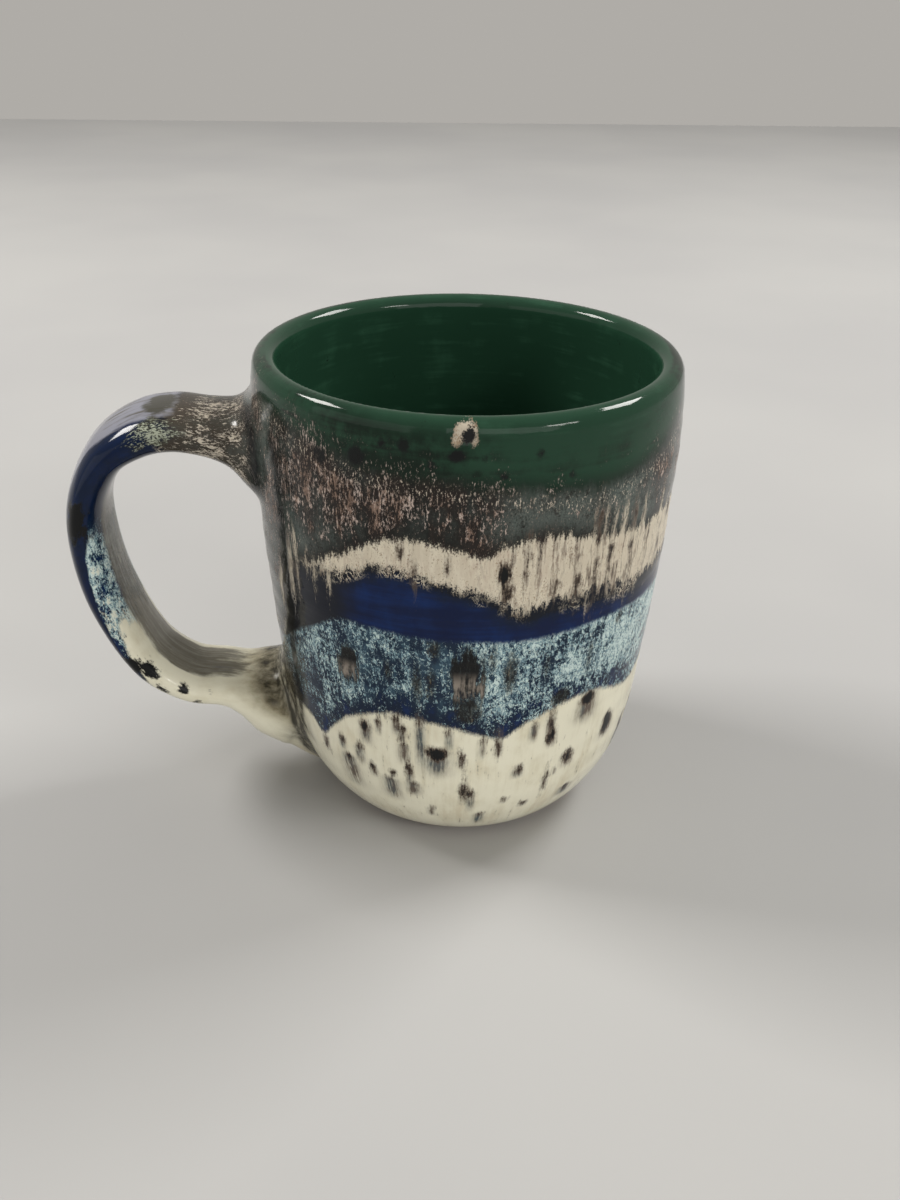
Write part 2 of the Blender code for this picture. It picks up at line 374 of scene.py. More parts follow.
def rough_mesh():
    """The body and the handle as closed blocks, joined by a voxel remesh. Millimetres."""
    builder = bmesh.new()
    line = resample(BODY.line, 1.5)
    around = 160
    turns = np.linspace(0.0, 2 * math.pi, around, endpoint=False)
    rings = []
    for radius, height in line[1:-1]:
        ring = np.stack([radius * np.cos(turns), radius * np.sin(turns)], 1)
        rings.append(np.column_stack([ring, np.full(around, height)]))
    faces = grid_faces(len(rings), around)
    faces.append(tuple(reversed(range(around))))
    faces.append(tuple((len(rings) - 1) * around + i for i in range(around)))
    add_block(builder, np.concatenate(rings), faces)
    strap_block(builder, HANDLE)
    strap_block(builder, TONGUE)
    bmesh.ops.recalc_face_normals(builder, faces=builder.faces)
    mesh = bpy.data.meshes.new("rough")
    builder.to_mesh(mesh)
    builder.free()
    item = bpy.data.objects.new("rough", mesh)
    bpy.context.scene.collection.objects.link(item)
    remesh = item.modifiers.new("remesh", "REMESH")
    remesh.mode = "VOXEL"
    remesh.voxel_size = VOXEL
    ready = item.evaluated_get(bpy.context.evaluated_depsgraph_get())
    made = bpy.data.meshes.new_from_object(ready)
    bpy.data.objects.remove(item, do_unlink=True)
    bpy.data.meshes.remove(mesh)
    return made


def read_points(mesh):
    points = np.empty(len(mesh.vertices) * 3, np.float32)
    mesh.vertices.foreach_get("co", points)
    return points.reshape(-1, 3).astype(float)


def write_points(mesh, points):
    mesh.vertices.foreach_set("co", points.astype(np.float32).ravel())
    mesh.update()


def relax(mesh, points, rounds):
    """Evens out the mesh along the surface."""
    edges = np.empty(len(mesh.edges) * 2, np.int32)
    mesh.edges.foreach_get("vertices", edges)
    edges = edges.reshape(-1, 2)
    count = np.bincount(edges.ravel(), minlength=len(points))[:, None]
    for _ in range(rounds):
        total = np.zeros_like(points)
        for axis in range(3):
            total[:, axis] += np.bincount(edges[:, 0], points[edges[:, 1], axis], len(points))
            total[:, axis] += np.bincount(edges[:, 1], points[edges[:, 0], axis], len(points))
        slope = mug_slope(points)
        normal = slope / np.maximum(np.linalg.norm(slope, axis=1), 1e-6)[:, None]
        move = total / count - points
        move -= (move * normal).sum(1)[:, None] * normal
        points = settle(points + 0.6 * move, 1)
    return points


def cut_level(mesh, height):
    """Adds an edge loop where the mesh crosses a height."""
    builder = bmesh.new()
    builder.from_mesh(mesh)
    everything = list(builder.verts) + list(builder.edges) + list(builder.faces)
    bmesh.ops.bisect_plane(builder, geom=everything, plane_co=(0, 0, height), plane_no=(0, 0, 1))
    builder.to_mesh(mesh)
    builder.free()


def make_surface():
    mesh = rough_mesh()
    points = settle(read_points(mesh), 3)
    points = relax(mesh, points, 6)
    write_points(mesh, points)
    for height in (CREAM_FOOT, LINER_TOP, GREEN_FOOT):
        cut_level(mesh, height)
    return mesh, settle(read_points(mesh), 2)


# ---------------------------------------------------------------- where the glazes lie
# Heights of each glaze's lower edge round the mug, as (azimuth, height)
GREEN_EDGE = [
    (-165, 95), (-150, 94), (-140, 92.5), (-132, 91.5), (-124, 91), (-118, 90), (-108, 89.3),
    (-100, 89), (-90, 88.2), (-80, 87), (-70, 86), (-60, 85.5), (-50, 86), (-40, 88), (-25, 92),
    (-5, 94), (25, 88), (60, 93), (95, 89), (130, 95), (165, 95),
]  # fmt: skip
SAND_TOP = [
    (-172, 44), (-158, 46), (-152, 58), (-146, 65), (-135, 68), (-130, 70.5), (-125, 72),
    (-120, 74.5), (-115, 76.5), (-110, 77.5), (-105, 77), (-100, 76.5), (-95, 75), (-90, 74.3),
    (-87, 75), (-83, 77), (-80, 78), (-75, 78), (-70, 77.5), (-65, 76.5), (-58, 75), (-50, 74),
    (-40, 74), (-20, 74), (0, 77), (20, 80), (45, 75), (70, 78), (95, 73), (120, 77),
    (142, 72), (152, 60), (162, 45), (172, 44),
]  # fmt: skip
SAND_FOOT = [
    (-172, 43), (-158, 45), (-152, 56), (-146, 64), (-135, 66), (-130, 66.5), (-125, 68),
    (-120, 70), (-115, 71), (-110, 71), (-105, 70), (-100, 68.5), (-95, 67.3), (-90, 66.3),
    (-87, 65), (-84, 63), (-80, 61.7), (-77, 61.5), (-74, 62.7), (-68, 63), (-60, 62.8),
    (-50, 62), (-42, 60.5), (-20, 63), (10, 67), (35, 63), (60, 66), (90, 61), (120, 65),
    (142, 66), (152, 56), (162, 44), (172, 43),
]  # fmt: skip
COBALT_FOOT = [
    (-172, 42), (-158, 43), (-151, 47), (-145, 50), (-140, 52), (-135, 54.5), (-130, 57),
    (-125, 57.5), (-90, 56.5), (-80, 56.2), (-70, 56.5), (-60, 57), (-50, 57), (-40, 56.5),
    (0, 56), (40, 58), (80, 55), (120, 58), (148, 52), (160, 43), (172, 42),
]  # fmt: skip
CREAM_TOP = [
    (-165, 27), (-150, 28), (-146, 27), (-141, 24), (-138, 27), (-135, 29.5), (-130, 33),
    (-125, 35), (-120, 36.5), (-115, 38), (-110, 37.5), (-105, 37), (-100, 36.5), (-95, 35.5),
    (-90, 34.2), (-86, 33.5), (-83.5, 32.3), (-80, 34.2), (-77, 36), (-70, 38), (-65, 39),
    (-60, 39.5), (-55, 39.3), (-50, 38.5), (-45, 37), (-35, 35), (-15, 38), (5, 34),
    (20, 38.5), (45, 36), (62, 31), (75, 36), (100, 39), (125, 35), (145, 29), (165, 26),
]  # fmt: skip
# How thickly pale crystals lie in the sky glaze, as (azimuth, amount)
FROST = [
    (-165, -0.10), (-155, -0.06), (-147, -0.04), (-138, 0.02), (-130, 0), (-123, -0.07),
    (-116, -0.04), (-108, -0.05), (-102, -0.08), (-96, -0.03), (-86, 0.05), (-81, 0),
    (-75, 0.05), (-60, 0.05), (-45, 0.09), (-25, 0.10), (0, 0.02), (40, 0.08), (90, -0.03),
    (130, 0.05),
]  # fmt: skip
# How thickly pink flecks lie in the dark glaze, as (azimuth, amount)
FIBRE = [
    (-165, 0.01), (-150, 0.02), (-135, 0.04), (-120, 0.06), (-105, 0.06), (-94, 0.05),
    (-84, -0.03), (-75, -0.05), (-60, -0.02), (-45, 0), (-20, 0.05), (20, 0.08), (60, 0),
    (100, 0.08), (140, 0.04),
]  # fmt: skip
# How streaky the sand glaze is, as (azimuth, amount)
BROKEN = [
    (-150, 1), (-135, 0.7), (-125, 0.25), (-110, 0.1), (-95, 0.15), (-85, 0.7), (-75, 0.75),
    (-60, 1), (-40, 1), (-20, 0.6), (20, 0.2), (60, 0.8), (100, 0.2), (140, 1),
]  # fmt: skip
# Dark spots bled out of the cream glaze: (azimuth, top, length, width, smear length, smear width)
CREAM_SPOTS = [
    (-101.5, 31, 4, 4.2, 5.5, 6),
    (-94.3, 29.6, 3.2, 1.1, 1.5, 1.3),
    (-123.5, 33.8, 2.8, 2, 4, 2.8),
    (-133, 27.3, 2, 1.3, 2.5, 1.7),
    (-126.3, 27, 2, 1.4, 4.5, 2.2),
    (-131, 23, 2.2, 1.6, 9, 5),
    (-122, 22.6, 1.6, 0.9, 2.6, 1.6),
    (-115.2, 22.6, 1, 1, 1.5, 1.2),
    (-116.3, 20.5, 1, 0.8, 7, 4),
    (-110, 25.7, 3.6, 1, 4, 1.4),
    (-109, 20.5, 1, 0.9, 4, 3.2),
    (-111.5, 30.6, 0.8, 0.6, 5.5, 2.4),
    (-106.3, 37.6, 2, 1.2, 13, 1.9),
    (-113.3, 37.6, 1.8, 1.5, 4, 1.8),
    (-111.8, 35.4, 2.6, 0.9, 3, 1.2),
    (-119, 35.6, 1.6, 0.9, 3, 1.2),
    (-93.6, 22.4, 4.8, 0.9, 4, 1),
    (-91.2, 19.4, 3.8, 1.8, 5, 1.3),
    (-87.5, 10.8, 1, 0.9, 5, 2),
    (-77.2, 24.6, 1.7, 1.2, 1.6, 2.4),
    (-72.6, 13.2, 1.4, 1.5, 1, 1.6),
    (-68.2, 37, 3.2, 1.3, 4, 1.8),
    (-67.4, 33, 3.4, 1.9, 2, 2),
    (-60.2, 25.6, 3.4, 2.6, 2, 3.2),
    (-55.5, 39.2, 3, 4.2, 5.5, 6),
    (-43.3, 30.2, 5.8, 3.5, 2, 4.2),
    (-67, 20.2, 3.6, 0.7, 1.5, 0.9),
    (-56, 13.8, 1.4, 1.4, 3, 4.4),
    (-83.7, 33.5, 4.6, 0.9, 1.5, 1.2),
    (-141, 25, 3.6, 1.2, 1.5, 1.6),
    (-88.6, 33, 0.8, 0.6, 5, 1.2),
    (-98, 35, 1, 0.7, 4.5, 1.4),
    (-73.5, 35.5, 0.8, 0.6, 4.5, 1.6),
    (-80, 16, 1, 0.7, 1.5, 0.9),
    (-104, 12.5, 0.9, 0.8, 3, 1.4),
    (-64, 22, 0.8, 0.7, 2, 0.9),
]
# Dark drops caught in the sand glaze: (azimuth, top, length, width)
SAND_DROPS = [
    (-85.2, 73.2, 4.6, 2),
    (-84.6, 70.6, 5, 1.5),
    (-79.8, 75.5, 4, 0.7),
    (-66, 69.5, 5, 1.1),
    (-110.5, 75.6, 1.8, 0.8),
    (-107, 72.5, 2.6, 0.4),
    (-99, 73.5, 1.4, 0.4),
    (-60.5, 77, 9, 0.7),
    (-56, 73, 6, 0.8),
    (-72, 68.5, 2.6, 0.6),
    (-48, 76, 8, 0.8),
]
# Pale threads and drips that run over the darker glaze below: (azimuth, top, length, width)
PALE_RUNS = [
    (-155, 75, 23, 3),
    (-147.3, 73, 17, 1.9),
    (-144, 78, 17, 1.1),
    (-139.5, 69, 5, 0.7),
    (-136.5, 68, 5.5, 0.9),
    (-131.5, 68, 6, 0.9),
    (-79, 70, 7.6, 3.2),
    (-75, 70, 6, 1.6),
    (-69, 70, 6, 1.4),
    (-62, 81, 18, 1.2),
    (-58.5, 82, 17, 1),
    (-55.5, 80, 17, 1.3),
    (-52, 82.5, 19, 1.4),
    (-47.5, 80, 17, 1.1),
    (-43.5, 82, 20, 1.6),
    (-33, 80, 15, 1.5),
]
# Burst bubbles in the sky glaze, healed with a pale middle: (azimuth, top, length, width)
EYES = [
    (-93.5, 54.8, 13.5, 6),
    (-127.5, 51.6, 9.4, 4.6),
    (-18, 52, 10, 4.6),
    (34, 54, 12, 5.6),
    (81, 50, 8, 4),
    (118, 52.5, 10, 5),
]
# Rusty runs in the sky glaze: (azimuth, top, length, width)
RUST_RUNS = [
    (-107, 51, 8, 1.8),
    (-102, 57, 5, 1.8),
    (-103, 50, 6, 1.6),
    (-87, 55.8, 6, 1.3),
    (-82, 53, 9, 2.6),
    (-72, 52, 5, 1.1),
    (-58, 53, 7, 1.2),
    (-48, 57, 3, 1.6),
    (-115, 50, 4, 1.2),
    (-66, 43, 4, 4),
    (-92.6, 43, 5.6, 5.4),
]
# Round black spots in the green glaze: (azimuth, top, length, width)
GREEN_DOTS = [
    (-109.5, 96.4, 2.7, 2.5),
    (-115, 95.6, 1.9, 1.8),
    (-121.5, 93.6, 3.4, 3.6),
    (-97.5, 94.9, 2.2, 3),
    (-103, 92.8, 1.5, 1.5),
    (-78, 94.7, 1.3, 1.3),
    (-86.5, 90.8, 1.1, 1.6),
    (-91, 94.2, 1.2, 1),
    (-132, 91.6, 2.8, 3),
    (-70, 90, 1, 1),
    (30, 94.5, 2.2, 2),
    (75, 92.6, 1.6, 1.8),
]
# The bare patch on the rim, and the dark window in it: (azimuth, top, length, width)
CHIP = [
    (-95.4, 99.9, 3.7, 4.3),
    (-97.5, 98, 2.6, 1.7),
    (-93.4, 97.8, 2.4, 1.5),
]
CHIP_WINDOW = [(-94.8, 99.2, 3.4, 2.6)]
# Heights, and how many degrees from the handle the painted shadow beside it runs there
HANDLE_SHADOW_HEIGHTS = [0, 8, 16, 26, 40, 60, 84, 93]
HANDLE_SHADOW_TURNS = [14, 16, 20, 25, 27, 30, 30, 26]
HANDLE_SHADOW_WIDTH = 2.6  # in degrees
CORNER_SHADE_WIDTH = 1.6  # of the painted shade line in the corner between handle and wall
# Marks on the handle: (station, side towards the front -1..1, rise -1..1, length, width)
HANDLE_SPOTS = [
    (7.25, 0.97, 0.2, 9, 4.8),
    (9.8, 0.95, 0.3, 4.8, 4.4),
    (10.05, 0.95, -0.3, 5, 3.8),
    (10.5, 0.95, 0.2, 4.4, 2.2),
    (10.9, 0.95, -0.35, 3.2, 2.1),
    (9.4, 0.95, -0.2, 1.2, 1),
    (11.6, 0.95, -0.3, 0.9, 0.8),
    (12, 0.95, 0, 0.8, 0.7),
    (11.3, 0.95, 0.4, 1.2, 0.8),
    (10.8, 0.3, 1, 5, 3),
    (11.4, -0.5, 0.8, 4, 3),
    (10.2, -0.9, 0.1, 6, 4),
    (11.6, -0.9, -0.2, 3, 2),
]
UNSEEN_MARKS = 12  # how many marks of a kind are spread over the unseen side
FAR = -30.0  # depth of a place that is in no mark
FLOW_RADIUS = 42.0  # of the tube on which the glaze's noise is laid out


def closed_curve(rows, azimuth):
    """Value at an azimuth of a softened curve through (azimuth, value) rows round the mug."""
    rows = np.array(sorted(rows), float)
    whole = np.arange(-180, 180)
    level = np.interp(whole, rows[:, 0], rows[:, 1], period=360)
    for _ in range(2):
        level = 0.5 * level + 0.25 * (np.roll(level, 1) + np.roll(level, -1))
    return np.interp(azimuth, whole, level, period=360)


def turn_between(azimuth, centre):
    return (azimuth - centre + 180) % 360 - 180


def mm_at(station):
    """How far along the handle a station is."""
    return np.interp(station, HANDLE.at, HANDLE.lengths)


def blend(wall, handle, weight):
    return wall * (1 - weight) + handle * weight


class Places:
    """Where points lie on the body, by azimuth and height, and on the handle, by station."""

    def __init__(self, points):
        self.body = BODY.look_up(BODY.distance, points)
        self.length = BODY.look_up(BODY.along, points)
        self.azimuth = np.degrees(np.arctan2(points[:, 1], points[:, 0]))
        self.height = points[:, 2]
        self.radius = np.maximum(np.hypot(points[:, 0], points[:, 1]), 1)
        self.direction = points[:, :2] / self.radius[:, None]
        self.beside = np.abs(turn_between(self.azimuth, 180))
        self.crown = BODY.length_at(HEIGHT)
        self.inside = smooth_step(self.length, self.crown, self.crown + 1)

        at, _, self.side, self.rise = HANDLE.frame(points)
        self.wide = HANDLE.at_place(at, HANDLE.rows[:, 2])
        self.thick = HANDLE.at_place(at, HANDLE.rows[:, 3])
        self.station = HANDLE.at_place(at, HANDLE.at)
        self.run = HANDLE.at_place(at, HANDLE.lengths)
        self.front = -self.side / self.wide
        self.top = self.rise / self.thick
        self.near_handle = near_handle(points)
        self.clay = handle_distance(points)
        share = smooth_step(self.body - self.clay, -3, 3)
        self.on_handle = np.where(self.near_handle, share, 0)


def mark_depth(p, marks):
    """How deep places lie inside oval marks (azimuth, top, length, width), in millimetres."""
    deepest = np.full(len(p.height), FAR)
    for centre, top, length, width in marks:
        across = np.radians(turn_between(p.azimuth, centre)) * p.radius / (width / 2)
        along = (p.height - (top - length / 2)) / (length / 2)
        depth = (1 - np.hypot(across, along)) * width / 2
        deepest = np.maximum(deepest, depth)
    return deepest


def handle_mark_depth(p, marks):
    """The same for marks on the handle (station, front, top, length, width)."""
    deepest = np.full(len(p.run), FAR)
    for station, front, top, length, width in marks:
        along = (p.run - mm_at(station)) / (length / 2)
        across = np.hypot((p.front - front) * p.wide, (p.top - top) * p.thick) / (width / 2)
        deepest = np.maximum(deepest, (1 - np.hypot(along, across)) * width / 2)
    return deepest


def rise_in_marks(p, marks):
    """How high places stand in the nearest mark: -1 at its foot and 1 at its top."""
    rise = np.zeros(len(p.height))
    for centre, top, length, width in marks:
        beside = np.abs(turn_between(p.azimuth, centre)) < width
        rise = np.where(beside, (p.height - top + length / 2) / (length / 2), rise)
    return np.clip(rise, -2, 2)


def smear_strength(p, spots):
    """Strength of the stains that run down from the cream glaze's spots."""
    strongest = np.zeros(len(p.height))
    for centre, top, length, width, run, spread in spots:
        across = np.radians(turn_between(p.azimuth, centre)) * p.radius
        start = top - 0.2 * length
        end = top - length - run
        down = (start - p.height) / (start - end)
        fade = smooth_step(down, -0.1, 0.1) * (1 - smooth_step(down, 0.45, 1.05))
        wide = spread / 2 * (0.75 + 0.25 * np.clip(down, 0, 1))
        strongest = np.maximum(strongest, fade * np.exp(-((across / wide) ** 2)))
    return strongest


def unseen_spots(count, seed):
    """Spots like the others for the side of the mug that the photograph doesn't show."""
    random = np.random.default_rng(seed)
    spots = []
    for i in range(count):
        azimuth = -34 + 180 * (i + random.uniform(0.1, 0.9)) / count
        size = random.uniform(0.25, 1) ** 1.6
        top = random.uniform(11, 35)
        length, width = 1.2 + 3.6 * size, 0.8 + 2.6 * size * random.uniform(0.4, 1)
        spots.append((azimuth, top, length, width, 1 + 7 * size, width * 1.3 + 0.6))
    return spots


def unseen_marks(rows, seed):
    """Marks with the sizes of those in rows, spread over the unseen side."""
    random = np.random.default_rng(seed)
    marks = []
    for i in range(UNSEEN_MARKS):
        _, top, length, width = rows[i % len(rows)]
        azimuth = -30 + 175 * (i + random.uniform(0.1, 0.9)) / UNSEEN_MARKS
        marks.append((azimuth, top + random.uniform(-1.5, 1.5), length, width))
    return marks


def flow_place(p):
    """Where the glaze's noise is read, so that its streaks run down the wall and the handle."""
    upper_root, lower_root = BODY.length_at(82), BODY.length_at(20)
    going_down = np.logaddexp(upper_root - p.run, lower_root - (HANDLE.lengths[-1] - p.run))
    wall = np.column_stack([p.direction * FLOW_RADIUS, p.length])
    handle = np.column_stack([p.rise - FLOW_RADIUS, p.side, going_down])
    return blend(wall, handle, p.on_handle[:, None])


def band_fields(p):
    """Heights above each glaze's lower edge, and what the glazes are like there."""
    edge = smooth_step(p.top, -0.5, 0.6)
    cobalt = np.minimum(p.run - mm_at(3.4), mm_at(7.3 + 2.9 * edge) - p.run)
    sky = np.minimum(p.run - mm_at(3), mm_at(9.2 + 1.2 * edge) - p.run)
    root = mm_at(3.9) + 1.5 * p.front - p.run
    edges = {
        "green": (GREEN_EDGE, -20),
        "dark": (SAND_TOP, root),
        "sand": (SAND_FOOT, root),
        "cobalt": (COBALT_FOOT, cobalt),
        "sky": (CREAM_TOP, sky),
    }
    fields = {}
    for name, (rows, on_handle) in edges.items():
        above = p.height - closed_curve(rows, p.azimuth)
        fields[name] = blend(above, on_handle, p.on_handle)
    fields["green"] = blend(fields["green"], 16, p.inside)
    pale_stretch = smooth_step(p.station, 7.3, 8.2) * smooth_step(p.station, 10, 9.3)
    frost = 0.27 * pale_stretch - 0.10
    fields["frost"] = blend(closed_curve(FROST, p.azimuth), frost, p.on_handle)
    fields["fibre"] = blend(closed_curve(FIBRE, p.azimuth), 0.06, p.on_handle)
    fields["broken"] = closed_curve(BROKEN, p.azimuth)
    fields["night"] = blend(smooth_step(p.beside, 61, 49), 0, p.on_handle)
    return fields


def mark_fields(p):
    """How deep places lie in the spots, drips and bubbles."""
    spots = CREAM_SPOTS + unseen_spots(34, 5)
    cores = [spot[:4] for spot in spots]
    marks = {
        "core": cores + SAND_DROPS + unseen_marks(SAND_DROPS, 8),
        "dot": GREEN_DOTS,
        "pale": PALE_RUNS + unseen_marks(PALE_RUNS[2:], 3),
        "eye": EYES,
        "rust": RUST_RUNS + unseen_marks(RUST_RUNS, 4),
    }
    fields = {}
    for name, rows in marks.items():
        on_handle = handle_mark_depth(p, HANDLE_SPOTS) if name == "core" else FAR
        depth = blend(mark_depth(p, rows), on_handle, p.on_handle)
        fields[name] = blend(depth, FAR, p.inside)
    fields["eye_rise"] = rise_in_marks(p, EYES)
    fields["smear"] = smear_strength(p, spots) * (1 - p.on_handle)
    fields["window"] = mark_depth(p, CHIP_WINDOW)
    fields["chip"] = np.where(p.length < p.crown + 0.8, mark_depth(p, CHIP), -5)
    return fields


def patch_fields(p):
    """Patches of other glazes that lie only on the handle."""
    turn = np.degrees(np.arctan2(np.abs(p.top), np.abs(p.front)))
    outer = smooth_step(turn, 38, 62) * (p.top > 0)
    inner = smooth_step(turn, 48, 66) * (p.top < 0)
    mauve = outer * smooth_step(p.station, 3.6, 4.2) * smooth_step(p.station, 8.6, 6.6)
    mauve *= smooth_step(p.front, 0.98, 0.7)
    wash = inner * smooth_step(p.station, 6, 7.2) * smooth_step(p.station, 14, 11.2)
    moss = 1 - np.hypot((p.station - 4.4) / 0.95, (p.top - 0.3) / 0.55)
    moss = np.where(p.front > 0.55, moss, moss - 4 * (0.55 - p.front))
    olive = 1 - np.hypot((p.station - 4.25) / 0.5, (p.front - 0.1) / 0.75)
    olive = np.where(p.top > 0.3, olive, -1)
    return {
        "mauve": blend(0, mauve, p.on_handle),
        "wash": blend(0, wash, p.on_handle),
        "moss": blend(-1, moss, p.on_handle),
        "olive": blend(-1, olive, p.on_handle),
    }


def shade_fields(p):
    """Painted shade in the corner and the pocket round the handle's roots, painted shadow beside
    them, and khaki glaze darkened with painted shade at the lower one and on the wall under it.
    """
    # painted shadow on the wall beside the handle
    handle_shadow_at = np.interp(p.height, HANDLE_SHADOW_HEIGHTS, HANDLE_SHADOW_TURNS)
    handle_shadow = np.exp(-(((p.beside - handle_shadow_at) / HANDLE_SHADOW_WIDTH) ** 2))
    handle_shadow *= smooth_step(p.height, 94, 86) * smooth_step(p.height, 2, 6)
    # painted shade in the corner between handle and wall
    corner_shade = np.exp(-(((p.body - p.clay) / CORNER_SHADE_WIDTH) ** 2)) * p.near_handle
    corner_shade *= smooth_step(np.abs(p.side) / p.wide, 0.3, 0.8)
    crease = np.maximum(corner_shade, handle_shadow) * (1 - p.inside)
    # painted shade in the pocket inside the handle's lower root
    pocket_shade = smooth_step(p.body + p.clay, 10, 4) * smooth_step(-p.top, 0, 0.6)
    pocket_shade *= p.near_handle * smooth_step(p.height, 48, 42)
    # khaki glaze partly darkened as painted shade, at the handle's lower root and on the wall under
    # the handle
    pad = smooth_step(p.body, 13, 4) * smooth_step(p.height, 42, 30) * p.on_handle
    pad *= smooth_step(p.top, 0.2, -0.4)
    under_handle_shade = smooth_step(p.beside, 27, 17) * smooth_step(p.height, 40, 26)
    pad = np.maximum(pad, 0.8 * under_handle_shade * (1 - p.on_handle))
    return {"crease": np.maximum(crease, 0.8 * pocket_shade), "pad": pad * (1 - p.inside)}


def glaze_fields(points):
    """The flow and the named values at each point that the glaze shader reads."""
    p = Places(points)
    fields = {"handle": p.on_handle}
    for made in (band_fields(p), mark_fields(p), patch_fields(p), shade_fields(p)):
        fields.update(made)
    return flow_place(p), fields


# ---------------------------------------------------------------- shader nodes
class Value:
    """A node's output, which goes into sums and products as a number does."""

    def __init__(self, graph, socket):
        self.graph = graph
        self.socket = socket

    def __add__(self, other):
        return self.graph.math("ADD", self, other)

    def __sub__(self, other):
        return self.graph.math("SUBTRACT", self, other)

    def __rsub__(self, other):
        return self.graph.math("SUBTRACT", other, self)

    def __mul__(self, other):
        return self.graph.math("MULTIPLY", self, other)

    __radd__ = __add__
    __rmul__ = __mul__


class Graph:
    """Short ways to write a material's nodes. Sizes are in millimetres of the glaze's flow."""

    def __init__(self, name):
        self.material = bpy.data.materials.new(name)
        self.material.use_nodes = True
        self.nodes = self.material.node_tree.nodes
        self.links = self.material.node_tree.links
        self.nodes.clear()

    def feed(self, socket, value):
        if isinstance(value, Value):
            self.links.new(value.socket, socket)
        elif socket.type == "RGBA":
            socket.default_value = (*value, 1.0)
        else:
            socket.default_value = value

    def node(self, kind, inputs, output=0, **settings):
        made = self.nodes.new(kind)
        for name, value in settings.items():
            setattr(made, name, value)
        for key, value in inputs.items():
            self.feed(made.inputs[key], value)
        return Value(self, made.outputs[output])

    def field(self, name, output="Fac"):
        return self.node("ShaderNodeAttribute", {}, output, attribute_name=name)

    def math(self, operation, *values, clamp=False):
        inputs = dict(enumerate(values))
        return self.node("ShaderNodeMath", inputs, operation=operation, use_clamp=clamp)

    def most(self, a, b):
        return self.math("MAXIMUM", a, b)

    def size_of(self, value):
        return self.math("ABSOLUTE", value)

    def share(self, value, amount):
        """The product, kept between 0 and 1."""
        return self.math("MULTIPLY", value, amount, clamp=True)

    def noise(self, vector, size, shift=0.0, detail=4.0, roughness=0.6, distortion=0.0):
        """Noise from about -0.5 to 0.5."""
        shrink = tuple(1.0 / part for part in size)
        placed = {0: vector, 1: shrink, 2: (shift, shift, shift)}
        inputs = {
            "Vector": self.node("ShaderNodeVectorMath", placed, operation="MULTIPLY_ADD"),
            "Scale": 1.0,
            "Detail": detail,
            "Roughness": roughness,
            "Distortion": distortion,
        }
        return self.node("ShaderNodeTexNoise", inputs, "Fac") - 0.5

    def step(self, value, low, high, start=0.0, end=1.0):
        inputs = {"Value": value, "From Min": low, "From Max": high, "To Min": start, "To Max": end}
        return self.node("ShaderNodeMapRange", inputs, interpolation_type="SMOOTHSTEP")

    def mix(self, first, second, factor):
        return self.node("ShaderNodeMix", {0: factor, 6: first, 7: second}, 2, data_type="RGBA")

    def level(self, first, second, factor):
        return self.node("ShaderNodeMix", {0: factor, 2: first, 3: second}, data_type="FLOAT")

    def finish(self, coat, depth):
        bump = self.node("ShaderNodeBump", {"Height": coat.relief, "Distance": depth * MM})
        inputs = {
            "Base Color": coat.colour,
            "Roughness": coat.roughness,
            "Specular IOR Level": GLOSS,
            "Normal": bump,
        }
        shader = self.node("ShaderNodeBsdfPrincipled", inputs)
        output = self.nodes.new("ShaderNodeOutputMaterial")
        self.feed(output.inputs["Surface"], shader)
        return self.material


class Coat:
    """A colour built up in tints, with the roughness and the relief that go with it."""

    def __init__(self, graph, colour, roughness=0.0, relief=0.0):
        self.graph = graph
        self.colour = colour
        self.roughness = roughness
        self.relief = relief

    def tint(self, colour, amount):
        self.colour = self.graph.mix(self.colour, colour, amount)

    def wear(self, roughness, relief, amount):
        self.roughness = self.graph.level(self.roughness, roughness, amount)
        self.relief = self.graph.level(self.relief, relief, amount)

    def cover(self, coat, amount):
        """Lays another coat on top."""
        self.tint(coat.colour, amount)
        self.wear(coat.roughness, coat.relief, amount)


# ---------------------------------------------------------------- glazes
CREAM_LIGHT = (0.77, 0.745, 0.60)
CREAM_DEEP = (0.64, 0.60, 0.45)
CREAM_WARM = (0.64, 0.53, 0.37)
FRECKLE = (0.26, 0.18, 0.11)
STAIN_BROWN = (0.12, 0.095, 0.075)
STAIN_BLUE = (0.085, 0.105, 0.11)
IRON_BLACK = (0.005, 0.0055, 0.006)
IRON_EDGE = (0.075, 0.045, 0.028)
NAVY = (0.004, 0.010, 0.028)
SKY_DEEP = (0.008, 0.019, 0.040)
SKY_MID = (0.030, 0.065, 0.100)
SKY_PALE = (0.24, 0.38, 0.43)
SKY_FROST = (0.64, 0.77, 0.74)
COBALT = (0.002, 0.008, 0.040)
COBALT_LIGHT = (0.003, 0.020, 0.096)
COBALT_THIN = (0.004, 0.019, 0.080)
NIGHT = (0.007, 0.009, 0.016)
SAND = (0.58, 0.52, 0.41)
SAND_PALE = (0.71, 0.655, 0.53)
SAND_PINK = (0.44, 0.33, 0.26)
FRINGE = (0.005, 0.007, 0.012)
DARK = (0.007, 0.008, 0.007)
DARK_BROWN = (0.019, 0.014, 0.012)
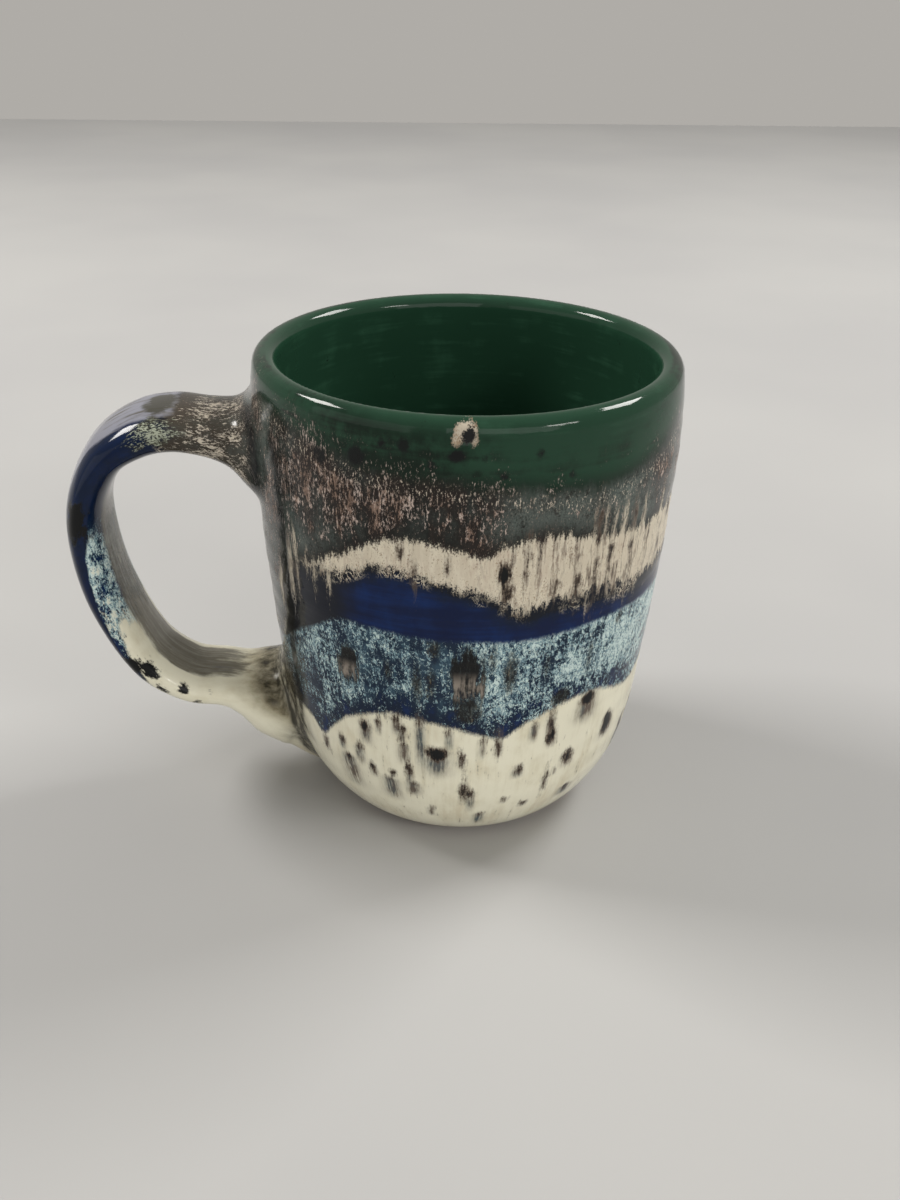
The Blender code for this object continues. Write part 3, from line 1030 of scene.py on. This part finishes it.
# grey-green of the dark glaze, lightened partly as a painted sheen
DARK_GREEN_SHEEN = (0.105, 0.128, 0.116)
BAR_BROWN = (0.16, 0.12, 0.09)
FLECK_PINK = (0.54, 0.445, 0.395)
FLECK_BROWN = (0.21, 0.14, 0.105)
FLECK_PALE = (0.62, 0.54, 0.44)
FLECK_OLIVE = (0.60, 0.55, 0.45)
ROOT_BROWN = (0.052, 0.043, 0.033)
GREEN = (0.014, 0.046, 0.026)
GREEN_DEEP = (0.004, 0.010, 0.006)
GREEN_LIGHT = (0.024, 0.072, 0.042)
OLIVE = (0.035, 0.033, 0.020)
MOSS = (0.34, 0.37, 0.29)
RUST = (0.011, 0.010, 0.008)
RUST_LIGHT = (0.16, 0.12, 0.07)
MAUVE = (0.29, 0.25, 0.21)
HANDLE_MAUVE = (0.25, 0.255, 0.30)
# khaki glaze, darkened as painted shade at the handle's lower root
PAD_KHAKI_SHADE = (0.27, 0.22, 0.11)
WASH = (0.085, 0.075, 0.054)
WASH_PALE = (0.19, 0.18, 0.15)
CHIP_CLAY = (0.50, 0.44, 0.35)
CLAY = (0.50, 0.40, 0.30)
CLAY_DARK = (0.33, 0.25, 0.18)
CLAY_GRIT = (0.10, 0.07, 0.05)
FLOOR_DARK = (0.38, 0.38, 0.38)
FLOOR_PALE = (0.41, 0.41, 0.405)
GLOSS = 0.20
GLAZE_RELIEF = 0.22  # depth of the bumps, in millimetres
CLAY_RELIEF = 0.12


class Noises:
    """The noises, and the fields of the mesh, that several glazes read."""

    def __init__(self, g):
        self.flow = flow = g.field("flow", "Vector")
        self.handle = handle = g.field("handle")
        self.wall = 1 - handle
        calm = g.step(handle, 0.3, 0.7, 1, 0.45)
        self.streak = g.noise(flow, (1.3, 1.3, 13), roughness=0.62) * calm
        self.streak_fine = g.noise(flow, (0.45, 0.45, 2.8), 11, roughness=0.66) * calm
        self.cloud = g.noise(flow, (8, 8, 11), 23, roughness=0.55)
        self.patch = g.noise(flow, (2.4, 2.4, 3.8), 31, roughness=0.62)
        self.grain = g.noise(flow, (0.30, 0.30, 0.42), 47, detail=3, roughness=0.7)
        self.fleck = g.noise(flow, (0.34, 0.34, 0.95), 59, roughness=0.75)
        self.ring = g.noise(flow, (26, 26, 1.6), 71) * g.step(handle, 0.6, 0.1)
        self.ragged = 2.2 * self.streak_fine + 2.4 * self.grain + 1.6 * self.patch
        wander = 6 * self.cloud + 5 * self.patch + 3 * self.streak_fine
        self.wander = wander * handle
        self.softer = g.step(handle, 0.3, 0.7, 1, 0.4)
        self.sand = g.field("sand")
        self.broken = g.field("broken")
        self.fibre = g.field("fibre")
        self.green = g.field("green")
        pale = g.field("pale") + 2.6 * self.streak_fine + 1.6 * self.grain + 0.8 * self.patch
        self.pale = g.step(pale, -0.3, 0.5)


def cream_coat(g, n):
    """Cream base with its bleeding spots."""
    mottle = 0.45 * n.streak + n.cloud + 0.45 * n.patch
    coat = Coat(g, g.mix(CREAM_LIGHT, CREAM_DEEP, g.step(mottle, -0.14, 0.30)))
    coat.tint(CREAM_WARM, g.step(n.cloud + 0.5 * n.streak, 0.05, 0.36, 0, 0.4))
    freckle = g.step(n.grain, 0.14, 0.26) * g.step(n.patch, -0.08, 0.2)
    coat.tint(FRECKLE, 0.65 * freckle)
    stain = g.mix(STAIN_BROWN, STAIN_BLUE, g.step(n.cloud, -0.08, 0.12))
    hair = 1.05 + 2.4 * n.streak_fine + 1.4 * n.streak + n.patch
    coat.tint(stain, g.share(g.field("smear"), hair))
    thread = n.streak_fine + 0.8 * n.patch + 0.5 * n.streak
    coat.tint(stain, g.step(thread, 0.16, 0.32, 0, 0.6) * n.wall)
    coat.roughness = g.level(0.15, 0.24, g.step(n.grain, 0, 0.2))
    coat.relief = 0.2 * n.streak + 0.08 * n.grain
    return coat


def tint_eyes(g, n, coat):
    """Burst bubbles: a brown rim, a black top and a pale heart in the lower half."""
    eye = g.field("eye") + 3 * n.streak_fine + 4 * n.patch + 6 * n.streak
    rise = g.field("eye_rise")
    coat.tint(RUST, g.step(eye, -1, 1, 0, 0.95))
    black = n.streak_fine + n.patch + 0.1 * rise
    coat.tint(IRON_BLACK, g.step(eye, -0.2, 0.9) * g.step(black, -0.12, 0.08))
    low_half = g.step(rise, 0.3, -0.25) * g.step(rise, -0.95, -0.55)
    heart = g.step(eye, 0.2, 1.4) * g.step(n.streak + n.patch, -0.28, 0.06) * low_half
    coat.tint(MAUVE, 0.9 * heart)


def sky_coat(g, n):
    """Pale crystals over blue, navy where the glaze thins out at its foot."""
    sky = g.field("sky") * n.softer + n.wander
    rich = g.field("frost")
    coat = Coat(g, g.mix(SKY_DEEP, SKY_MID, g.step(n.cloud + n.patch, -0.1, 0.2)))
    coat.tint(OLIVE, g.step(n.patch + 0.7 * n.streak, 0.12, 0.24, 0, 0.8))
    near_foot = g.step(sky + 1.6 * n.ragged - 8 * rich, 7, 2.2)
    foot_colour = g.mix(COBALT_THIN, NAVY, g.step(n.patch + 0.6 * n.cloud, -0.22, 0.02))
    coat.tint(foot_colour, 0.9 * near_foot)
    frosty = rich + 0.4 * n.patch + 0.3 * n.cloud + 0.25 * n.ring + 0.3 * n.streak
    frosty += 0.09 - 0.11 * near_foot + (0.5 * n.patch + 0.4 * n.cloud) * n.handle
    curd = g.noise(n.flow, (0.6, 0.6, 0.95), 107, roughness=0.72, distortion=1.1)
    frost = g.step(curd + 0.8 * n.grain + frosty, 0.15, 0.24)
    coat.tint(SKY_PALE, 0.85 * g.step(curd + 0.4 * n.fleck + frosty, 0.06, 0.14))
    coat.tint(SKY_FROST, 0.9 * frost)
    bright_patch = g.step(n.patch + 0.5 * n.grain + rich, 0.2, 0.32) * n.handle
    coat.tint(CREAM_LIGHT, 0.7 * bright_patch)
    rust = g.step(g.field("rust") + 2.4 * n.fleck + 2 * n.patch, -0.6, 0.7)
    rust_colour = g.mix(RUST, RUST_LIGHT, g.step(n.fleck + n.streak, 0.08, 0.28))
    coat.tint(rust_colour, rust * g.step(n.patch + n.fleck, -0.35, 0, 0.3, 0.9))
    tint_eyes(g, n, coat)
    coat.roughness = g.level(0.10, 0.24, frost)
    coat.relief = 0.35 + 0.2 * frost
    return coat, g.step(sky + 0.75 * n.ragged, -0.7, 0.8)


def cobalt_coat(g, n):
    """Even cobalt, with fine turned lines and a few pale pinpricks."""
    cobalt = g.field("cobalt") * n.softer + n.wander
    coat = Coat(g, g.mix(COBALT, COBALT_LIGHT, g.step(0.7 * n.ring + n.cloud, -0.18, 0.26)))
    near_top = g.step(n.sand + 7 * n.patch + 5 * n.cloud, -4.6, -1.2)
    coat.tint(NAVY, 0.85 * near_top * n.wall)
    coat.tint(SKY_MID, 0.7 * g.step(n.grain, 0.2, 0.32))
    coat.tint(NAVY, g.step(n.patch + n.cloud, -0.25, 0.1, 0.35, 0.9) * n.handle)
    coat.tint(NIGHT, g.field("night"))
    coat.roughness = 0.09
    coat.relief = 0.45 + 0.35 * n.ring
    return coat, g.step(cobalt + 0.45 * n.ragged, -0.7, 0.7)


def sand_coat(g, n):
    """Sand glaze, barred where it ran, with lace where it breaks up at its foot."""
    coat = Coat(g, g.mix(SAND, SAND_PALE, g.step(n.streak + n.patch, -0.2, 0.25)))
    coat.tint(SAND_PINK, g.step(n.streak_fine + n.cloud, 0, 0.4, 0, 0.7))
    freckled = g.step(n.grain + 0.4 * n.patch + 0.4 * n.fleck, 0.05, 0.19)
    coat.tint(FRECKLE, 0.75 * freckled)
    bars = n.streak + 0.45 * n.streak_fine + 0.5 * n.patch
    coat.tint(BAR_BROWN, 0.85 * g.step(bars + 0.05 * n.broken, 0.02, 0.2) * n.broken)
    hard_bar = g.step(bars + 0.12 * n.broken + 0.2 * n.grain, 0.25, 0.34)
    coat.tint(DARK_BROWN, 0.85 * hard_bar)
    thread = g.noise(n.flow, (1.2, 1.2, 1.9), 83, detail=3, distortion=1.4)
    lace = g.step(g.size_of(thread), 0.05, 0.012)
    lace_zone = g.step(n.sand, -2.4, -1) * g.step(n.cloud, -0.04, 0.1)
    breaking = n.sand + 0.9 * n.ragged + 3 * n.grain + 2 * n.patch
    breaking += (12 * n.streak + 3.6 * n.patch - 1.8) * n.broken
    on_sand = g.most(g.step(breaking, -0.5, 0.8), lace * lace_zone)
    coat.roughness = 0.30
    coat.relief = 0.62 + 0.35 * n.grain
    return coat, g.most(on_sand, 0.9 * n.pale)


def dark_coat(g, n):
    """Dark glaze with pink-brown flecks drawn out by the pour, greener where they are few, that
    grey-green partly a painted sheen.
    """
    dark = g.field("dark")
    coat = Coat(g, g.mix(DARK, DARK_BROWN, g.step(n.cloud + 0.6 * n.streak, -0.14, 0.16)))
    coat.tint(ROOT_BROWN, 0.8 * n.handle)
    # grey-green where the flecks are few, partly a painted sheen
    greener_and_sheen = g.step(n.fibre + 0.3 * n.cloud + 0.15 * n.patch, 0.075, -0.055)
    blotch = g.step(n.patch + 0.8 * n.grain + 0.6 * n.fleck, -0.35, 0.12)
    coat.tint(DARK_GREEN_SHEEN, greener_and_sheen * g.step(dark, -1, 5) * blotch)
    stipple = g.step(n.grain + 0.6 * n.fleck + 0.3 * n.cloud, 0.13, 0.24, 0, 0.6)
    coat.tint(FLECK_BROWN, stipple)
    low_zone = g.step(dark, 0, 5) * g.step(n.green, 0, -4.5)
    fleck_zone = n.fibre + 0.45 * n.cloud + 0.5 * n.patch + 0.12 * low_zone - 0.045
    flecks = g.step(n.fleck + 0.5 * n.streak_fine + fleck_zone, 0.16, 0.25)
    brown_share = g.step(n.cloud + n.streak + n.grain, -0.1, 0.15)
    fleck_colour = g.mix(FLECK_PINK, FLECK_BROWN, brown_share)
    coat.tint(g.mix(fleck_colour, FLECK_OLIVE, 0.8 * n.handle), flecks)
    from_line = g.size_of(n.green + 2.2 + 4 * n.patch)
    bright = g.step(n.fleck + 0.5 * n.grain, 0.07, 0.16) * g.step(from_line, 2.4, 0.5)
    coat.tint(FLECK_PALE, bright)
    coat.roughness = g.level(0.13, 0.30, flecks)
    coat.relief = 0.4 + 0.22 * flecks
    on_dark = dark + 1.5 * n.ragged + 3.5 * n.fleck + 7 * n.streak * n.broken
    see_pale = 1 - 0.9 * n.pale * g.step(dark, 10, 4)
    return coat, g.step(on_dark, -0.7, 0.7) * see_pale


def green_coat(g, n):
    """Green glaze, thick and glossy, darker and speckled towards its foot."""
    coat = Coat(g, g.mix(GREEN, GREEN_LIGHT, g.step(n.ring + n.cloud, 0, 0.4)))
    deep = g.step(n.cloud + 0.25 * n.patch + 0.8 * n.ring, -0.04, 0.24)
    deep = deep * g.step(n.fibre, -0.03, 0.04, 0.65, 1)
    deep = g.most(deep * g.step(n.green, 11, 7), g.step(n.green, 4.5, 0, 0, 0.8))
    shaded = 0.9 * g.step(n.fibre + 0.12 * n.patch + 0.1 * n.ring, 0.01, 0.07)
    coat.tint(GREEN_DEEP, g.most(deep, shaded * g.step(n.green, 11, 6)))
    specks = n.fleck + 0.5 * n.cloud + 0.4 * n.patch + 0.6 * n.fibre + 0.02
    coat.tint(FLECK_PINK, 0.8 * g.step(specks, 0.16, 0.26) * g.step(n.green, 7.5, 0))
    dots = g.step(n.grain + 1.2 * n.patch, 0.3, 0.38) * g.step(n.fibre, -0.01, 0.04)
    coat.tint(IRON_BLACK, dots)
    coat.roughness = 0.07
    coat.relief = 0.5 + 0.15 * n.ring
    on_green = g.step(n.green + 0.7 * n.ragged + 4 * n.patch, -2, 1.8)
    return coat, g.most(on_green, g.step(n.green, 0.8, 3.2))


def tint_handle(g, n, mug):
    """Patches on the handle: mauve on top, khaki glaze partly darkened with painted shade and grey
    washes inside, moss near its root.
    """
    loose = (2.4 * n.streak + 0.8 * n.patch) * n.handle
    mauve = g.field("mauve")
    mauve = g.step(mauve + loose * g.step(mauve, 0, 0.3), 0.2, 0.7)
    mauve_colour = g.mix(HANDLE_MAUVE, WASH, g.step(2 * n.streak + n.cloud, -0.05, 0.2))
    mug.tint(mauve_colour, 0.85 * mauve)
    # khaki glaze with painted shade at the lower root and under the handle
    pad_shade_colour = g.mix(PAD_KHAKI_SHADE, WASH, g.step(n.streak + n.patch, 0.08, 0.4))
    mug.tint(pad_shade_colour, 0.8 * g.share(g.field("pad"), 0.95 + 1.4 * n.patch))
    wash = g.field("wash")
    wash = g.step(wash + loose * g.step(wash, 0, 0.3), 0.2, 0.8)
    band = g.noise(n.flow, (1.5, 1.5, 17), 97, detail=3, roughness=0.55, distortion=0.8)
    band = band + 0.3 * n.patch
    wash_colour = g.mix(WASH, WASH_PALE, g.step(band + n.streak_fine, -0.12, 0.24))
    wash_colour = g.mix(wash_colour, SKY_DEEP, g.step(band + n.cloud, 0.1, 0.3, 0, 0.6))
    mug.tint(wash_colour, 0.9 * wash)
    moss = g.field("moss")
    moss_colour = g.mix(NAVY, OLIVE, g.step(n.patch, -0.1, 0.1))
    moss_light = n.fleck + 0.6 * n.patch + n.grain + 0.25 * moss
    moss_colour = g.mix(moss_colour, MOSS, g.step(moss_light, 0.08, 0.24))
    mug.tint(moss_colour, g.step(moss + (n.fleck + 1.6 * n.patch) * n.handle, 0.05, 0.5))
    olive = g.step(g.field("olive") + 1.4 * n.patch * n.handle, 0.05, 0.5)
    mug.tint(OLIVE, 0.9 * olive)


def tint_spots(g, n, mug):
    """Iron spots, the painted shade in the crease round the handle's roots, and the bare chip on
    the rim.
    """
    core = g.field("core") + n.grain + 2.2 * n.streak_fine + 3 * n.patch
    core = core + 0.5 * n.wander - 0.25
    mug.tint(STAIN_BROWN, g.step(core, -1.2, 0.3, 0, 0.85) * n.wall)
    mug.tint(IRON_EDGE, g.step(core, -0.5, 0.2, 0, 0.8) * n.wall)
    mug.tint(IRON_BLACK, g.step(core, -0.3, 0.5))
    mug.relief = g.level(mug.relief, 0.2, g.step(core, -0.4, 0.5))
    # painted shade in the corner and pocket at the handle's roots, and painted shadow beside them
    mug.tint(IRON_BLACK, 0.9 * g.share(g.field("crease"), 1 + 2.4 * n.patch))
    chip = g.field("chip") + 1.4 * n.patch + 2 * n.grain
    chip_colour = g.mix(CHIP_CLAY, FRECKLE, g.step(n.grain + n.patch, -0.06, 0.2, 0, 0.85))
    mug.tint(chip_colour, g.step(chip, -0.1, 0.3))
    mug.tint(IRON_BLACK, g.step(g.field("window") + 2 * n.grain + 1.6 * n.patch, -0.15, 0.3))
    mug.wear(0.5, 0.1, g.step(chip, 0, 0.3))


def glaze_material():
    """Poured glazes in coats from the foot up, each with its own crystals, runs and edge."""
    g = Graph("poured_glazes")
    n = Noises(g)
    mug = cream_coat(g, n)
    mug.cover(*sky_coat(g, n))
    mug.cover(*cobalt_coat(g, n))
    mug.tint(FRINGE, 0.92 * g.step(n.sand + 0.9 * n.ragged, -1.7, -0.5))
    mug.cover(*sand_coat(g, n))
    mug.cover(*dark_coat(g, n))
    coat, on_green = green_coat(g, n)
    mug.tint(coat.colour, on_green)
    dot = g.step(g.field("dot") + n.grain + 1.4 * n.patch, -0.5, 0.5)
    mug.tint(IRON_BLACK, 0.92 * dot)
    mug.wear(coat.roughness, coat.relief, on_green)
    tint_handle(g, n, mug)
    tint_spots(g, n, mug)
    return g.finish(mug, GLAZE_RELIEF)


def clay_material():
    g = Graph("bare_stoneware")
    flow = g.field("flow", "Vector")
    cloud = g.noise(flow, (6, 6, 6))
    grain = g.noise(flow, (0.35, 0.35, 0.35), 13, detail=3, roughness=0.7)
    coat = Coat(g, g.mix(CLAY, CLAY_DARK, g.step(cloud + 0.5 * grain, -0.1, 0.3)))
    coat.tint(CLAY_GRIT, g.step(grain, 0.2, 0.3))
    coat.roughness = g.level(0.72, 0.9, g.step(grain, -0.1, 0.2))
    coat.relief = grain
    return g.finish(coat, CLAY_RELIEF)


def floor_material():
    g = Graph("pale_floor")
    place = g.node("ShaderNodeTexCoord", {}, "Object")
    cloud = g.noise(place, (0.2, 0.2, 0.2), detail=3, roughness=0.5)
    colour = g.mix(FLOOR_DARK, FLOOR_PALE, g.step(cloud, -0.2, 0.2))
    return g.finish(Coat(g, colour, roughness=0.75), 0)


# ---------------------------------------------------------------- pieces
RING_PITCH = 5.2
RING_DEPTH = 0.07
DENT_PITCH = 17.0
DENT_DEPTH = 0.10
CHIP_DEPTH = 0.22
FOOT_TOP = 4.0  # above this height, what lies near the axis is the inside


def turned_relief(points):
    """Depth of the slight rings and dents that throwing leaves on the wall."""
    azimuth = np.arctan2(points[:, 1], points[:, 0])
    height = points[:, 2]
    rise = 2 * math.pi * height
    rings = 0.5 + 0.5 * np.sin(rise / RING_PITCH + azimuth + 0.8 * np.sin(2 * azimuth))
    dents = 0.5 + 0.5 * np.sin(rise / DENT_PITCH + 1.0 + 2 * azimuth)
    faded = smooth_step(height, 5.0, 16.0) * smooth_step(height, 97.0, 88.0)
    return (RING_DEPTH * rings + DENT_DEPTH * dents) * faded


def add_value(mesh, name, values):
    layer = mesh.attributes.new(name, "FLOAT", "POINT")
    layer.data.foreach_set("value", values.astype(np.float32))


def make_piece(name, faces, coordinates, normals, flow, fields, material):
    """A piece with some faces of the whole surface, shaded as if it were still whole."""
    used = np.unique(np.concatenate(faces))
    number = np.full(len(coordinates), -1)
    number[used] = np.arange(len(used))
    faces = [number[face].tolist() for face in faces]
    mesh = bpy.data.meshes.new(name)
    mesh.from_pydata((coordinates[used] * MM).tolist(), [], faces)
    mesh.shade_smooth()
    mesh.normals_split_custom_set_from_vertices(normals[used].tolist())
    for key, values in fields.items():
        add_value(mesh, key, values[used])
    layer = mesh.attributes.new("flow", "FLOAT_VECTOR", "POINT")
    layer.data.foreach_set("vector", flow[used].astype(np.float32).ravel())
    mesh.materials.append(material)
    item = bpy.data.objects.new(name, mesh)
    bpy.context.scene.collection.objects.link(item)
    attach(item, "root")
    return item


def build_mug():
    mesh, points = make_surface()
    flow, fields = glaze_fields(points)
    slope = mug_slope(points)
    outward = slope / np.maximum(np.linalg.norm(slope, axis=1), 1e-6)[:, None]
    radius = np.hypot(points[:, 0], points[:, 1])
    outside = smooth_step(radius - wall_radius(points[:, 2]), -2.2, -1.2)
    depth = turned_relief(points) * outside * (1 - fields["handle"])
    depth += CHIP_DEPTH * smooth_step(fields["chip"], -0.2, 0.5)
    moved = points - outward * depth[:, None]
    write_points(mesh, moved)
    normals = np.empty(len(points) * 3, np.float32)
    mesh.vertex_normals.foreach_get("vector", normals)
    normals = normals.reshape(-1, 3)

    corners = [np.array(face.vertices[:]) for face in mesh.polygons]
    centres = np.array([moved[face].mean(0) for face in corners])
    reach = np.hypot(centres[:, 0], centres[:, 1])
    high = centres[:, 2]
    inside = (reach < wall_radius(high) - LIP_THICKNESS / 2) & (high > FOOT_TOP)
    on_handle = np.array([fields["handle"][face].mean() for face in corners]) > 0.5
    wall = ~on_handle & ~inside
    choices = {
        "handle_glazed": on_handle & ~inside,
        "liner_glaze_coat": inside & (high < LINER_TOP),
        "rim_glaze_coat": (inside & (high > LINER_TOP)) | (wall & (high > GREEN_FOOT)),
        "banded_wall_coat": wall & (high < GREEN_FOOT) & (high > CREAM_FOOT),
        "bare_foot_clay": wall & (high < CREAM_FOOT),
    }
    glaze = glaze_material()
    clay = clay_material()
    pieces = {}
    for name, picked in choices.items():
        material = clay if name == "bare_foot_clay" else glaze
        faces = [corners[i] for i in np.flatnonzero(picked)]
        pieces[name] = make_piece(name, faces, moved, normals, flow, fields, material)
    bpy.data.meshes.remove(mesh)
    return pieces


pieces = build_mug()
handle_nodes = [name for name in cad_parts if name.startswith("handle_")]
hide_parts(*handle_nodes)
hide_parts("liner_glaze")
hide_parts("rim_green_glaze")
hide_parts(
    "dark_band_glaze",
    "sand_band_glaze",
    "cobalt_band_glaze",
    "sky_band_glaze",
    "cream_base_glaze",
)
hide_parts("clay_body")

# ---------------------------------------------------------------- floor, lights and camera
FLOOR_SIZE = 2.4
FLOOR_DROP = 0.0002
LIGHT_HEIGHT = 0.05  # height on the mug's axis that the lights face
# Soft boxes: (name, azimuth, elevation, distance, size, power, colour)
LIGHTS = [
    ("window_left", 158, 46, 1.3, (0.42, 0.32), 12.5, (1, 0.97, 0.93)),
    ("window_right", 28, 46, 1.3, (0.5, 0.3), 10.5, (1, 0.98, 0.95)),
    ("lamp_front", -45, 27, 1.5, (0.4, 0.2), 4.5, (1, 0.97, 0.93)),
    ("front_fill", -75, 16, 6, (6, 3.2), 85, (1, 0.99, 0.97)),
    ("left_fill", -150, 8, 3, (3.2, 2.2), 12, (1, 0.98, 0.95)),
]
WORLD_COLOUR = (1.0, 0.96, 0.90, 1.0)
WORLD_STRENGTH = 0.43
# The photo's view: where the camera stands, the point it faces, its roll in degrees, and its lens.
CAMERA_PLACE = (-0.02102, -0.22235, 0.16706)
CAMERA_TARGET = (-0.00262, 0, 0.0423)
CAMERA_ROLL = 1.113
CAMERA_LENS = 34.5
CAMERA_SENSOR = 36


def make_floor():
    mesh = bpy.data.meshes.new("floor")
    half = FLOOR_SIZE / 2
    corners = [(-half, -half, 0), (half, -half, 0), (half, half, 0), (-half, half, 0)]
    mesh.from_pydata(corners, [], [(0, 1, 2, 3)])
    mesh.materials.append(floor_material())
    floor = bpy.data.objects.new("floor", mesh)
    floor.location.z = -FLOOR_DROP
    bpy.context.scene.collection.objects.link(floor)


def add_light(name, azimuth, elevation, distance, size, power, colour):
    """A soft box that faces the mug, at a compass azimuth (0 along +X, 90 along +Y)."""
    turn, tilt = math.radians(azimuth), math.radians(elevation)
    away = Vector(
        (math.cos(turn) * math.cos(tilt), math.sin(turn) * math.cos(tilt), math.sin(tilt))
    )
    light = bpy.data.lights.new(name, "AREA")
    light.shape = "RECTANGLE"
    light.size, light.size_y = size
    light.energy = power
    light.color = colour
    item = bpy.data.objects.new(name, light)
    item.location = away * distance + Vector((0, 0, LIGHT_HEIGHT))
    item.rotation_euler = away.to_track_quat("Z", "Y").to_euler()
    item.visible_camera = False
    bpy.context.scene.collection.objects.link(item)


def make_world():
    world = bpy.data.worlds.new("studio")
    bpy.context.scene.world = world
    world.use_nodes = True
    background = world.node_tree.nodes["Background"]
    background.inputs["Color"].default_value = WORLD_COLOUR
    background.inputs["Strength"].default_value = WORLD_STRENGTH


def make_camera():
    lens = bpy.data.cameras.new("camera")
    lens.lens = CAMERA_LENS
    lens.sensor_width = CAMERA_SENSOR
    camera = bpy.data.objects.new("camera", lens)
    place, target = Vector(CAMERA_PLACE), Vector(CAMERA_TARGET)
    aim = (target - place).to_track_quat("-Z", "Y").to_matrix()
    turned = aim @ Matrix.Rotation(math.radians(CAMERA_ROLL), 3, "Z")
    camera.matrix_world = Matrix.Translation(place) @ turned.to_4x4()
    bpy.context.scene.collection.objects.link(camera)
    bpy.context.scene.camera = camera


make_floor()
make_world()
for light in LIGHTS:
    add_light(*light)
make_camera()
bpy.context.scene.view_settings.view_transform = "Standard"
